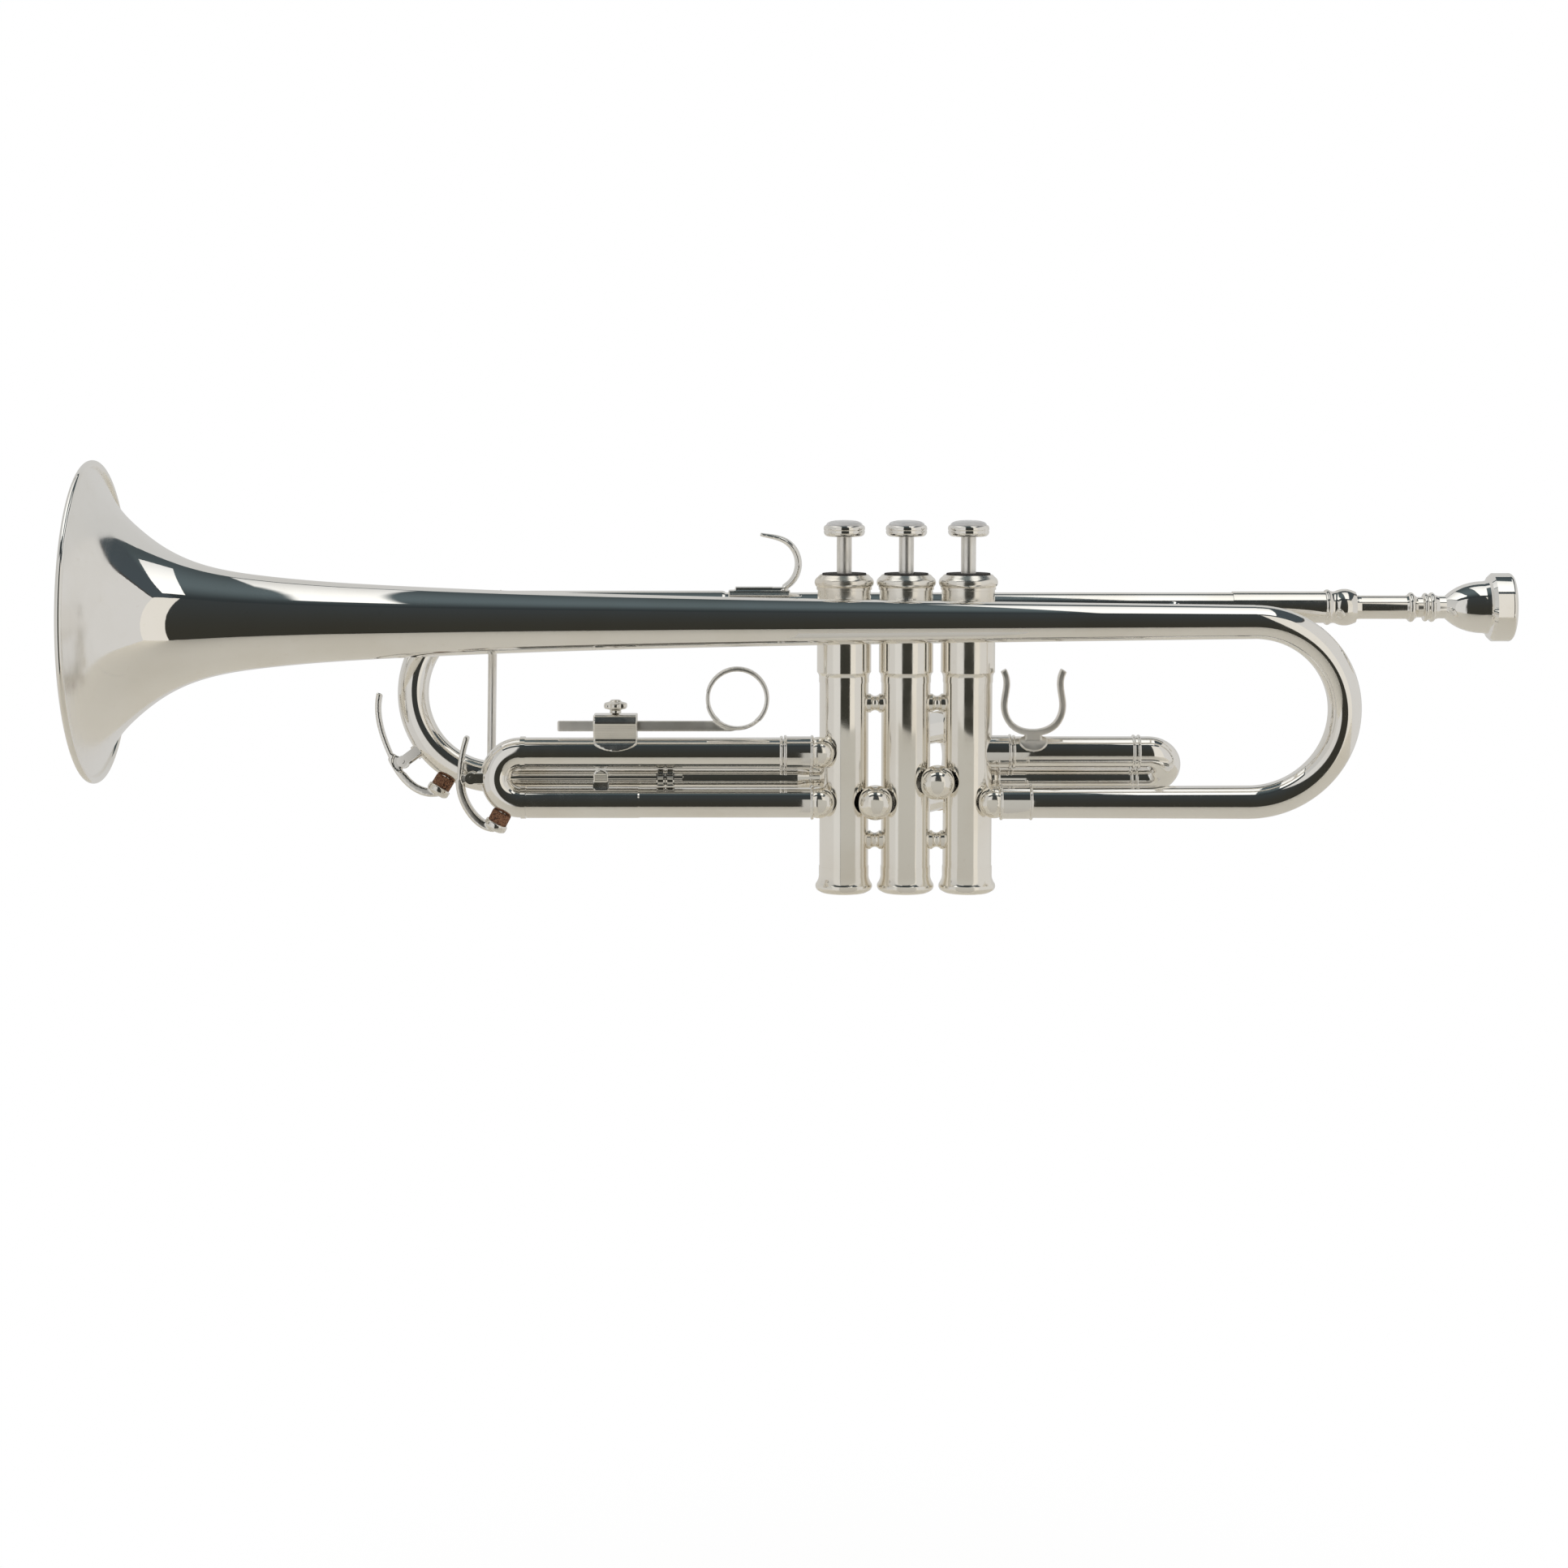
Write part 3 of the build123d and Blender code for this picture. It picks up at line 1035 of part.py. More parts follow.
# Each lever is two lists of points in its bow's plane: the touch piece from its tip down, and
# the arm from the barrel to the cup.
MAIN_KEY = (bow_plane(main_centre, -main_side), MAIN_BEND, MAIN_BOW_R, 239.0)
MAIN_PIVOT = (-37.0, -27.6)
MAIN_CURVE = (
    [(-46.6, -0.9), (-47.0, -8.0), (-45.4, -16.0)],
    [(-41.4, -26.0), (-36.9, -33.2), (-31.0, -38.2)],
)
THIRD_KEY = (bow_plane(third_centre, Vector(0, -1, 0)), THIRD_BEND, OUTER_R, 242.0)
THIRD_PIVOT = (-19.0, 0.0)
THIRD_CURVE = (
    [(-20.6, 15.8), (-22.6, 8.0)],
    [(-23.4, -0.5), (-22.4, -7.5), (-19.2, -13.7), (-14.9, -17.9)],
)

WATER_KEYS = [
    ("tuning_key", MAIN_KEY, MAIN_PIVOT, MAIN_CURVE),
    ("third_key", THIRD_KEY, THIRD_PIVOT, THIRD_CURVE),
]

for name, place, pivot, curve in WATER_KEYS:
    plane, bend, tube_r, cork_angle = place
    bow_start = plane.from_local_coords(spoke(90, bend))
    seat_solids = key_seat(*place, pivot)
    with BuildPart() as seat:
        add(seat_solids)
        half_ring(plane.origin, bow_start, plane.z_dir, tube_r, mode=Mode.SUBTRACT)
    seat.part.label = f"{name}_seat"
    export_step(seat.part, f"parts/{name}_seat.step")

    with BuildPart() as lever:
        add(key_lever(*place, pivot, curve))
    lever.part.label = f"{name}_lever"
    export_step(lever.part, f"parts/{name}_lever.step")

    with BuildPart() as cork:
        add(key_cork(*place))
    cork.part.label = f"{name}_cork"
    export_step(cork.part, f"parts/{name}_cork.step")

# ---------------------------------------------------------------- mouthpiece

RIM_R = 13.4

with BuildPart() as mouthpiece:
    shank_start_r = seat_radius(SHANK_START_X) - SEAT_GAP
    shank_end_r = seat_radius(RECEIVER_END_X) - SEAT_GAP
    mouthpiece_outline = [
        (SHANK_START_X, 3.9), (SHANK_START_X, shank_start_r), (RECEIVER_END_X, shank_end_r), (179.0, 4.6),
        (196.8, 4.6), (197.6, 4.9), (198.8, 5.8, 200.0, 4.9), (201.2, 4.0), (203.2, 4.0), (203.6, 4.9),
        (204.5, 5.6, 205.4, 4.9), (205.9, 4.9), (207.0, 5.8, 208.1, 4.9), (209.6, 4.4), (212.2, 4.4),
        (215.2, 6.8, 219.2, 8.8), (222.9, 9.8, 227.0, 10.2), (228.6, 10.6), (229.3, 12.2), (230.6, RIM_R),
        (236.6, RIM_R), (238.3, 12.6, 238.1, 10.9), (237.6, 9.0, 236.0, 8.2), (231.0, 7.6, 226.2, 1.9),
        (222.0, 1.85),
    ]
    turn_x(PIPE_Y, PIPE_Z, mouthpiece_outline)
mouthpiece.part.label = "mouthpiece"
export_step(mouthpiece.part, "parts/mouthpiece.step")
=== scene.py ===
# %% [markdown]
# # A silver-plated trumpet, dressed for the studio
# The solids of the instrument come from the CAD frame: tubes, valves, slides, keys and the
# mouthpiece, each on the body that it moves with. This lesson lights them like a bright
# metal in a studio, gives each piece its finish, and makes again the pieces that need an even
# mesh, a worn edge or a change of length: the bell, the small castings, the corks, the hook, the
# buttons with their pearl discs, the valve springs and the knurled nuts.

# %% Load the frame
import json
import math

import bpy
from mathutils import Matrix, Vector

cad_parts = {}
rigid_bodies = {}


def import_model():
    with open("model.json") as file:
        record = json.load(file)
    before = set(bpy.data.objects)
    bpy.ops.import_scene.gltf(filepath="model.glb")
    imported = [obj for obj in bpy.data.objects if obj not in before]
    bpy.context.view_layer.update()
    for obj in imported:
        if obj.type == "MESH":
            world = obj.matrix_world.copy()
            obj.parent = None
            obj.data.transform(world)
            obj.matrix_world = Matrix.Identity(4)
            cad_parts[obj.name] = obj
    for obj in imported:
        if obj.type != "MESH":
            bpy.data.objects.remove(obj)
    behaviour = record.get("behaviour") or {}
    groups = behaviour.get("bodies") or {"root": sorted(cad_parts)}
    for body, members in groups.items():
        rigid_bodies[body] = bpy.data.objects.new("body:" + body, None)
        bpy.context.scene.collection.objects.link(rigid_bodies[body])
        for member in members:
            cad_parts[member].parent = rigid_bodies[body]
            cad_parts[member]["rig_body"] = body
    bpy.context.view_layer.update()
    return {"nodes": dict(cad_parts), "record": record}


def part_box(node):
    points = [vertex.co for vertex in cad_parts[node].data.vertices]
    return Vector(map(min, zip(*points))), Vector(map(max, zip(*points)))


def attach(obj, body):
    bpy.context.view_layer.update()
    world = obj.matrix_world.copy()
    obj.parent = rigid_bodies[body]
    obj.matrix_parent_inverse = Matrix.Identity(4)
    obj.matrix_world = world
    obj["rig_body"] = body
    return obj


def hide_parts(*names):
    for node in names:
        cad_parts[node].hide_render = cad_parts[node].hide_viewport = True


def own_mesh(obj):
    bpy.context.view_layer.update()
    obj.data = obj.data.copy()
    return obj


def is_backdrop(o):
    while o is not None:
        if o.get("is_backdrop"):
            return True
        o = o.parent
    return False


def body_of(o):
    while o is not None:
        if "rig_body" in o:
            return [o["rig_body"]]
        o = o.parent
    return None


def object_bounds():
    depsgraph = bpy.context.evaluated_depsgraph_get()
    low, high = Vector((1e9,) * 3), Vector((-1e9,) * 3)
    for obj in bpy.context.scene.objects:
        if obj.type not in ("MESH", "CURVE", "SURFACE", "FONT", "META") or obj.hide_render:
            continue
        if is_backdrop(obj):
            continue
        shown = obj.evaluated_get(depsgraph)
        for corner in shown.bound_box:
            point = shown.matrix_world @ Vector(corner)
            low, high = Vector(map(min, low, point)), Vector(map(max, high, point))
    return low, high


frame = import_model()
nodes = frame["nodes"]
MM = 0.001

# %% [markdown]
# ## The camera
# A long lens from over a metre away keeps the tubes nearly parallel. The camera stands on the
# player's left, a little above the instrument, and looks slightly down. A shift of the lens
# sets the instrument above the middle of the frame without tilting the camera, which would
# make the valves lean.

# %% Camera
CAMERA_PLACE = Vector((-0.0473, -1.195, 0.128))
AIM = Vector((-0.0473, 0.0, 0.017))
LENS_MM = 71.05
SENSOR_MM = 36.0
SHIFT_DOWN = -0.068

bpy.ops.object.camera_add(location=CAMERA_PLACE)
camera = bpy.context.object
camera.name = "studio_camera"
camera.rotation_euler = (AIM - CAMERA_PLACE).to_track_quat("-Z", "Y").to_euler()
camera.data.lens = LENS_MM
camera.data.sensor_width = SENSOR_MM
camera.data.shift_y = SHIFT_DOWN
bpy.context.scene.camera = camera
print("camera stands", round((AIM - CAMERA_PLACE).length, 3), "m away")

# %% [markdown]
# ## Shader sums written as sums
# A shader is a small graph, and every sum in it is a Math node. Writing them one by one hides
# the idea, so one class wraps an output socket and turns + - * into Math nodes. A second
# class holds a node tree and adds any other node with a single method.


# %% Socket sums
class Socket:
    """An output socket that can be used in a sum."""

    def __init__(self, board, socket):
        self.board = board
        self.socket = socket

    def math(self, operation, *values):
        return self.board.add("ShaderNodeMath", {"operation": operation}, dict(enumerate(values)))

    def __add__(self, other):
        return self.math("ADD", self, other)

    def __sub__(self, other):
        return self.math("SUBTRACT", self, other)

    def __mul__(self, other):
        return self.math("MULTIPLY", self, other)

    def power(self, exponent):
        return self.math("POWER", self, exponent)

    def ramp(self, low, high, start=0.0, end=1.0):
        """Smooth step: start below low, end above high."""
        settings = {"interpolation_type": "SMOOTHSTEP"}
        values = {"Value": self, "From Min": low, "From Max": high, "To Min": start, "To Max": end}
        return self.board.add("ShaderNodeMapRange", settings, values)


class Board:
    """A node tree, with one way to add any node."""

    def __init__(self, tree):
        self.tree = tree
        tree.nodes.clear()

    def add(self, kind, settings=None, values=None, out=0):
        node = self.tree.nodes.new(kind)
        for name, setting in (settings or {}).items():
            setattr(node, name, setting)
        for name, value in (values or {}).items():
            if isinstance(value, Socket):
                self.tree.links.new(value.socket, node.inputs[name])
            else:
                node.inputs[name].default_value = value
        return Socket(self, node.outputs[out]) if node.outputs else node

    def place(self):
        """The place on the object, in its own coordinates."""
        return self.add("ShaderNodeTexCoord", out=3)

    def bump(self, height, depth, strength=1.0):
        """A normal that is bent by a height."""
        values = {"Strength": strength, "Distance": depth, "Height": height}
        return self.add("ShaderNodeBump", {}, values)

    def split(self, vector):
        """The x, y and z of a vector socket."""
        node = self.tree.nodes.new("ShaderNodeSeparateXYZ")
        self.tree.links.new(vector.socket, node.inputs[0])
        return [Socket(self, output) for output in node.outputs]

    def mix(self, factor, a, b):
        """Colour mix from a to b."""
        settings = {"data_type": "RGBA"}
        return self.add("ShaderNodeMix", settings, {0: factor, 6: a, 7: b}, out=2)


print("shader sums ready")

# %% [markdown]
# ## A studio of cloth
# Polished silver has hardly any colour of its own: it is a picture of the room. The room for
# such work is a tent of white cloth that stands close round the instrument, with one tall gap
# for the lens. Each tube then carries one dark band, the gap, with pale cloth on both sides of
# it. Small lamps would give hard spots instead, and a far away sky would give every tube the
# same stripe, while a near wall makes the stripe slide along as the tube does. So the tent is
# built here as real panels that shine. The camera doesn't see them, only the metal does.

# %% Panels that shine
TENT_LOW = Vector((-1.0, -0.84, -0.45))
TENT_HIGH = Vector((0.95, 0.80, 1.04))
CLOTH_THICKNESS = 4 * MM


def new_material(name):
    """An empty material and the board of its node tree."""
    material = bpy.data.materials.new(name)
    material.use_nodes = True
    return material, Board(material.node_tree)


def shining(name, paint):
    """A material that shines with the colour that paint(board, x, y, z) gives."""
    material, board = new_material(name)
    x, y, z = board.split(board.place())
    glow = board.add("ShaderNodeEmission", {}, {"Color": paint(board, x, y, z), "Strength": 1.0})
    board.add("ShaderNodeOutputMaterial", {}, {"Surface": glow})
    return material


def panel(name, low, high, paint):
    """A thin slab of studio cloth between two corners, seen by the metal only."""
    bpy.ops.object.select_all(action="DESELECT")
    bpy.ops.mesh.primitive_cube_add(size=1)
    slab = bpy.context.object
    slab.name = name
    middle = (low + high) / 2
    size = high - low
    slab.data.transform(Matrix.Translation(middle) @ Matrix.Diagonal((*size, 1.0)))
    slab.data.materials.append(shining(name + "_cloth", paint))
    slab.visible_camera = False
    slab.visible_shadow = False
    slab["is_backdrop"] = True
    return slab


print("tent of", [round(v, 2) for v in TENT_HIGH - TENT_LOW], "m")

# %% [markdown]
# ## The front cloth and its gap
# The gap runs from floor to ceiling. Its right edge is a taut hem and its left edge hangs
# loose, so one side of each reflection is crisp and the other is soft. Through the gap shows
# the unlit room, a little bluer towards the ceiling.

# %% Front cloth
GAP_LEFT = -0.29
GAP_RIGHT = 0.393
LOOSE_HEM = 0.035
TAUT_HEM = 0.008
CLOTH_LEFT = (0.68, 0.675, 0.66, 1.0)
CLOTH_RIGHT = (0.78, 0.75, 0.69, 1.0)
ROOM_LOW = (0.036, 0.035, 0.028, 1.0)
ROOM_HIGH = (0.040, 0.046, 0.048, 1.0)


def front_paint(board, x, y, z):
    gap = x.ramp(GAP_LEFT - LOOSE_HEM, GAP_LEFT + LOOSE_HEM)
    gap = gap * x.ramp(GAP_RIGHT - TAUT_HEM, GAP_RIGHT + TAUT_HEM, 1.0, 0.0)
    cloth = board.mix(x.ramp(-0.2, 0.3), CLOTH_LEFT, CLOTH_RIGHT)
    room = board.mix(z.ramp(-0.3, 1.0), ROOM_LOW, ROOM_HIGH)
    return board.mix(gap, cloth, room)


front_low = Vector((TENT_LOW.x, TENT_LOW.y - CLOTH_THICKNESS, TENT_LOW.z))
front_high = Vector((TENT_HIGH.x, TENT_LOW.y, TENT_HIGH.z))
panel("tent_front", front_low, front_high, front_paint)
print("gap is", round(GAP_RIGHT - GAP_LEFT, 3), "m wide")

# %% [markdown]
# ## The ceiling and its two light boxes
# Two long light boxes hang over the instrument, one over the bell and one over the lead pipe
# end. They draw the bright lines on top of the tubes, and neither hangs quite square to the
# instrument, so the lines end in slants. The strip of ceiling between them is only lit by what
# comes back from the table, which makes the blue grey top of the bell.

# %% Ceiling
BELL_BOX = (-0.95, -0.252, -0.036)  # left edge, right edge, slant
PIPE_BOX = (0.132, 0.50, -0.14)
BELL_BOX_ENDS = (-0.50, 0.72)  # near end, far end
PIPE_BOX_ENDS = (-0.62, 0.40)
BOX_EDGE = 0.004
STRIP_ENDS = (0.033, 0.040, 0.043, 1.0)
STRIP_MIDDLE = (0.105, 0.135, 0.146, 1.0)
RIGHT_END = (0.06, 0.075, 0.085, 1.0)
LAMP_NEAR = (1.16, 1.16, 1.13, 1.0)
LAMP_FAR = (0.74, 0.74, 0.73, 1.0)


def between(value, low, high, edge):
    """1 between low and high, 0 outside, with soft edges."""
    return value.ramp(low - edge, low + edge) * value.ramp(high - edge, high + edge, 1.0, 0.0)


def box_light(x, y, left, right, slant, ends):
    """1 inside a light box whose long edges slant, 0 outside it."""
    return between(x - y * slant, left, right, BOX_EDGE) * between(y, *ends, BOX_EDGE)


def ceiling_paint(board, x, y, z):
    bell_light = box_light(x, y, *BELL_BOX, BELL_BOX_ENDS)
    pipe_light = box_light(x, y, *PIPE_BOX, PIPE_BOX_ENDS)
    middle = y.ramp(-0.78, -0.15) * y.ramp(-0.15, 0.7, 1.0, 0.45)
    strip = board.mix(middle, STRIP_ENDS, STRIP_MIDDLE)
    rest = board.mix(x.ramp(0.45, 0.55), strip, RIGHT_END)
    lamp = board.mix(y.ramp(-0.3, 0.7), LAMP_NEAR, LAMP_FAR)
    return board.mix(bell_light + pipe_light, rest, lamp)


ceiling_low = Vector((TENT_LOW.x, TENT_LOW.y, TENT_HIGH.z))
ceiling_high = Vector((TENT_HIGH.x, TENT_HIGH.y, TENT_HIGH.z + CLOTH_THICKNESS))
panel("tent_ceiling", ceiling_low, ceiling_high, ceiling_paint)
print("light boxes end at x", BELL_BOX[1], PIPE_BOX[0])

# %% [markdown]
# ## Side and back cloths
# The other three cloths are plain and a little darker than the front one, as they stand
# farther from the lamps. The right cloth is painted dark along its top, just under the ceiling.

# %% Sides and back
SIDE_RIGHT = (0.66, 0.65, 0.63, 1.0)
# Dark paint along the top of the right cloth, under the ceiling.
RIGHT_TOP_DARK = (0.06, 0.06, 0.06, 1.0)
CLOTH_FOOT = (0.62, 0.61, 0.59, 1.0)
LEFT_TOP = (0.55, 0.55, 0.54, 1.0)
BACK_TOP = (0.60, 0.60, 0.59, 1.0)


def right_paint(board, x, y, z):
    return board.mix(z.ramp(0.99, 1.0), SIDE_RIGHT, RIGHT_TOP_DARK)


def left_paint(board, x, y, z):
    return board.mix(z.ramp(-0.4, 0.9), CLOTH_FOOT, LEFT_TOP)


def back_paint(board, x, y, z):
    return board.mix(z.ramp(-0.4, 0.9), CLOTH_FOOT, BACK_TOP)


for name, side_x, paint in (
    ("tent_left", TENT_LOW.x - CLOTH_THICKNESS, left_paint),
    ("tent_right", TENT_HIGH.x, right_paint),
):
    side_low = Vector((side_x, TENT_LOW.y, TENT_LOW.z))
    side_high = Vector((side_x + CLOTH_THICKNESS, TENT_HIGH.y, TENT_HIGH.z))
    panel(name, side_low, side_high, paint)
back_low = Vector((TENT_LOW.x, TENT_HIGH.y, TENT_LOW.z))
back_high = Vector((TENT_HIGH.x, TENT_HIGH.y + CLOTH_THICKNESS, TENT_HIGH.z))
panel("tent_back", back_low, back_high, back_paint)
print("tent closed")

# %% [markdown]
# ## A small card
# A grey card stands in front of the lower valves, so that the dark gap doesn't run down their
# whole length. Its top edge is cut a little askew, which ends the dark stripe of each casing
# in a slanting point.

# %% Card
CARD_X = (-0.040, 0.052)
CARD_Y = -0.060
CARD_Z = (-0.200, -0.0085)
CARD_SLANT = 0.055
# The card takes no light: it shines with painted light, a little dimmer at its foot than at its
# top.
CARD_FOOT = (0.46, 0.44, 0.40, 1.0)
CARD_TOP = (0.50, 0.49, 0.455, 1.0)


def card_paint(board, x, y, z):
    return board.mix(z.ramp(-0.12, -0.02), CARD_FOOT, CARD_TOP)


card_low = Vector((CARD_X[0], CARD_Y, CARD_Z[0]))
card_high = Vector((CARD_X[1], CARD_Y + MM, CARD_Z[1]))
card = panel("grey_card", card_low, card_high, card_paint)
slant = Matrix.Identity(4)
slant[2][0] = -CARD_SLANT
card.data.transform(slant)
print("card", round(CARD_X[1] - CARD_X[0], 3), "m wide")

# %% [markdown]
# ## World and table
# Behind everything the view is plain white. The world gives that white to the lens and to
# anything that mirrors it, and a gentler light to all else. The table is far enough below the
# instrument for its shadow to be very soft. It is warm paper that fades into the white before
# its edge, and near the instrument it is lifted towards white for the lens only, because the
# undersides of the tubes have to mirror the paper and not the white.

# %% World
WHITE = (1.0, 1.0, 1.0, 1.0)
DIM = 0.6


def background_rays(board):
    """1 for rays that should meet the white background: from the lens, a mirror or glass."""
    rays = board.add("ShaderNodeLightPath", out=0)
    for output in ("Is Glossy Ray", "Is Transmission Ray"):
        rays = rays.math("MAXIMUM", rays, board.add("ShaderNodeLightPath", out=output))
    return rays


world = bpy.data.worlds.new("white_room")
bpy.context.scene.world = world
world.use_nodes = True
board = Board(world.node_tree)
dim = board.add("ShaderNodeBackground", {}, {"Color": WHITE, "Strength": DIM})
white = board.add("ShaderNodeBackground", {}, {"Color": WHITE, "Strength": 1.0})
seen = board.add("ShaderNodeMixShader", {}, {0: background_rays(board), 1: dim, 2: white})
board.add("ShaderNodeOutputWorld", {}, {"Surface": seen})
bpy.context.scene.view_settings.view_transform = "Standard"
print("world is", world.name)

# %% Table
TABLE_Z = TENT_LOW.z
TABLE_RADIUS = 1.8
PAPER = (0.95, 0.91, 0.825, 1.0)
LIFT = 0.94
LIFT_FADES = (0.05, 0.5)  # distances in m
PAPER_FADES = (1.2, 1.7)

bpy.ops.object.select_all(action="DESELECT")
bpy.ops.mesh.primitive_circle_add(vertices=96, radius=TABLE_RADIUS, fill_type="NGON")
table = bpy.context.object
table.name = "studio_table"
table.data.transform(Matrix.Translation((0, 0, TABLE_Z)))
table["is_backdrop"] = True

paper, board = new_material("warm_paper")
x, y, _ = board.split(board.place())
distance = (x * x + y * y).power(0.5)
lens = board.add("ShaderNodeLightPath", out=0)
near_lift = distance.ramp(*LIFT_FADES, LIFT, 1.0) * lens
far_fade = distance.ramp(*PAPER_FADES) * background_rays(board)
sheet = board.add("ShaderNodeBsdfDiffuse", {}, {"Color": PAPER})
glow = board.add("ShaderNodeEmission", {}, {"Color": WHITE, "Strength": 1.0})
lift = near_lift.math("MAXIMUM", near_lift, far_fade)
surface = board.add("ShaderNodeMixShader", {}, {0: lift, 1: sheet, 2: glow})
board.add("ShaderNodeOutputMaterial", {}, {"Surface": surface})
table.data.materials.append(paper)
print("table at", TABLE_Z)

# %% [markdown]
# ## Polished metal
# Silver plate that has been rubbed for years isn't one even mirror. Its tint wanders a little
# where the first tarnish starts, the rubbing leaves a faint haze, and a drawn tube waves by
# hundredths of a millimetre, which bends the reflections. One function makes all the polished
# metals, from two tints, a smoothness and the amount of haze.
#
# The outer tubes have the brightest plate, and the inner tubes of the slides are nickel. The
# casings are warmer and duller, as every grip rubs them, and the top caps are duller still. Worn
# plate is for the small castings, the keys and the hook. Handled plate, the softest, is for the
# ring, the thumb saddle, the valve stems and the brace of the tuning slide.

# %% Polished metals
CLOUD_SCALE = 26.0
SPECK_SCALE = 420.0
RUB_SCALE = 130.0
WAVE_SCALE = 70.0


def fine_noise(board, place, scale, detail=2.0):
    return board.add("ShaderNodeTexNoise", {}, {"Vector": place, "Scale": scale, "Detail": detail})


def metal_surface(board, tint, rough, normal):
    """Ends a metal material with its shader."""
    values = {"Base Color": tint, "Metallic": 1.0, "Roughness": rough, "Normal": normal}
    shader = board.add("ShaderNodeBsdfPrincipled", {}, values)
    board.add("ShaderNodeOutputMaterial", {}, {"Surface": shader})


def polished(name, clean, tarnished, smooth, haze, wave=0.02 * MM):
    """Polished metal with a wandering tint, a rubbed haze and a slight wave."""
    material, board = new_material(name)
    place = board.place()
    cloud = fine_noise(board, place, CLOUD_SCALE, 4.0).ramp(0.42, 0.72)
    speck = fine_noise(board, place, SPECK_SCALE, 3.0).ramp(0.60, 0.78)
    tint = board.mix(cloud * 0.7 + speck * 0.3, clean, tarnished)
    rubbed = fine_noise(board, place, RUB_SCALE, 5.0).ramp(0.35, 0.75)
    rough = rubbed * haze + cloud * (haze / 2) + smooth
    height = fine_noise(board, place, WAVE_SCALE, 1.0)
    normal = board.bump(height, wave)
    metal_surface(board, tint, rough, normal)
    return material


silver = polished("silver_plate", (0.945, 0.93, 0.90, 1.0), (0.86, 0.82, 0.75, 1.0), 0.035, 0.05)
casing_silver = polished(
    "casing_plate", (0.95, 0.92, 0.86, 1.0), (0.88, 0.83, 0.745, 1.0), 0.085, 0.08
)
slide_nickel = polished(
    "slide_nickel", (0.90, 0.885, 0.86, 1.0), (0.82, 0.79, 0.74, 1.0), 0.05, 0.05
)
handled_silver = polished(
    "handled_plate", (0.93, 0.915, 0.88, 1.0), (0.85, 0.81, 0.74, 1.0), 0.30, 0.14, 0.01 * MM
)
cap_silver = polished("cap_plate", (0.95, 0.92, 0.86, 1.0), (0.86, 0.79, 0.68, 1.0), 0.17, 0.10)
worn_silver = polished("worn_plate", (0.90, 0.885, 0.85, 1.0), (0.80, 0.76, 0.69, 1.0), 0.10, 0.10)
for plate in (silver, casing_silver, slide_nickel, handled_silver, cap_silver, worn_silver):
    print("polished:", plate.name)

# %% [markdown]
# ## The bell's own finish
# A bell is spun on a mandrel and polished on the lathe, so lines run round its flare. The stem
# is a mirror with faint lines drawn along it, and over the last 22 mm to the rim the bell gets
# softer: there the lines are dense enough to blur the room. The material measures the place
# along the bell and the radius from its axis, and lets both steer the roughness and a very
# shallow bump.

# %% Bell silver
bell_low, bell_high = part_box("bell")
BELL_AXIS = Vector((0, (bell_low.y + bell_high.y) / 2, (bell_low.z + bell_high.z) / 2))
FLARE_START = bell_low.x + 22 * MM
FLARE_END = bell_low.x + 4 * MM
BELL_CLEAN = (0.95, 0.935, 0.91, 1.0)
BELL_TARNISHED = (0.87, 0.84, 0.78, 1.0)
RING_DENSITY = 700.0
RING_DRIFT = 9.0
LINE_DEPTH = 0.006 * MM

bell_silver, board = new_material("bell_silver")
place = board.place()
x, y, z = board.split(place)
from_axis_y = y - BELL_AXIS.y
from_axis_z = z - BELL_AXIS.z
radius = (from_axis_y * from_axis_y + from_axis_z * from_axis_z).power(0.5)
satin = x.ramp(FLARE_END, FLARE_START, 1.0, 0.0)
along_skin = (x - radius) * RING_DENSITY
ring_place = {0: along_skin, 1: y * RING_DRIFT, 2: z * RING_DRIFT}
lathe_lines = fine_noise(board, board.add("ShaderNodeCombineXYZ", {}, ring_place), 1.0, 3.0)
cloud = fine_noise(board, place, 24.0, 4.0).ramp(0.42, 0.72)
speck = fine_noise(board, place, SPECK_SCALE, 3.0).ramp(0.60, 0.78)
tint = board.mix(cloud * 0.6 + speck * 0.3, BELL_CLEAN, BELL_TARNISHED)
lined = lathe_lines.ramp(0.3, 0.7) * (satin * 0.05 + 0.012)
rough = satin * 0.13 + lined + cloud * 0.015 + 0.012
drawn_place = board.add("ShaderNodeMapping", {}, {"Vector": place, "Scale": (0.02, 1.0, 1.0)})
drawn_lines = fine_noise(board, drawn_place, 420.0)
height = lathe_lines * satin * 0.1 + drawn_lines
normal = board.bump(height, LINE_DEPTH)
metal_surface(board, tint, rough, normal)
print("flare softens from x", round(FLARE_START, 3), "to", round(FLARE_END, 3))

# %% [markdown]
# ## Working metals
# The pistons are lapped to slide in their casings, so they are grey and satin with lines along
# the stroke. The springs are drawn wire, darker and a little brown. Both are the same recipe:
# noise stretched along the working direction, which feeds the tint and the roughness.

# %% Pistons and springs


def drawn_metal(name, light, dark, smooth, rough_gain, stretch):
    """Metal with fine lines, drawn out by the stretch of its coordinates."""
    material, board = new_material(name)
    place = board.place()
    lines_place = board.add("ShaderNodeMapping", {}, {"Vector": place, "Scale": stretch})
    lines = fine_noise(board, lines_place, 900.0, 4.0).ramp(0.3, 0.7)
    cloud = fine_noise(board, place, 60.0)
    tint = board.mix(lines * 0.6 + cloud * 0.4, light, dark)
    rough = lines * rough_gain + smooth
    normal = board.bump(lines, 0.01 * MM, 0.3)
    metal_surface(board, tint, rough, normal)
    return material


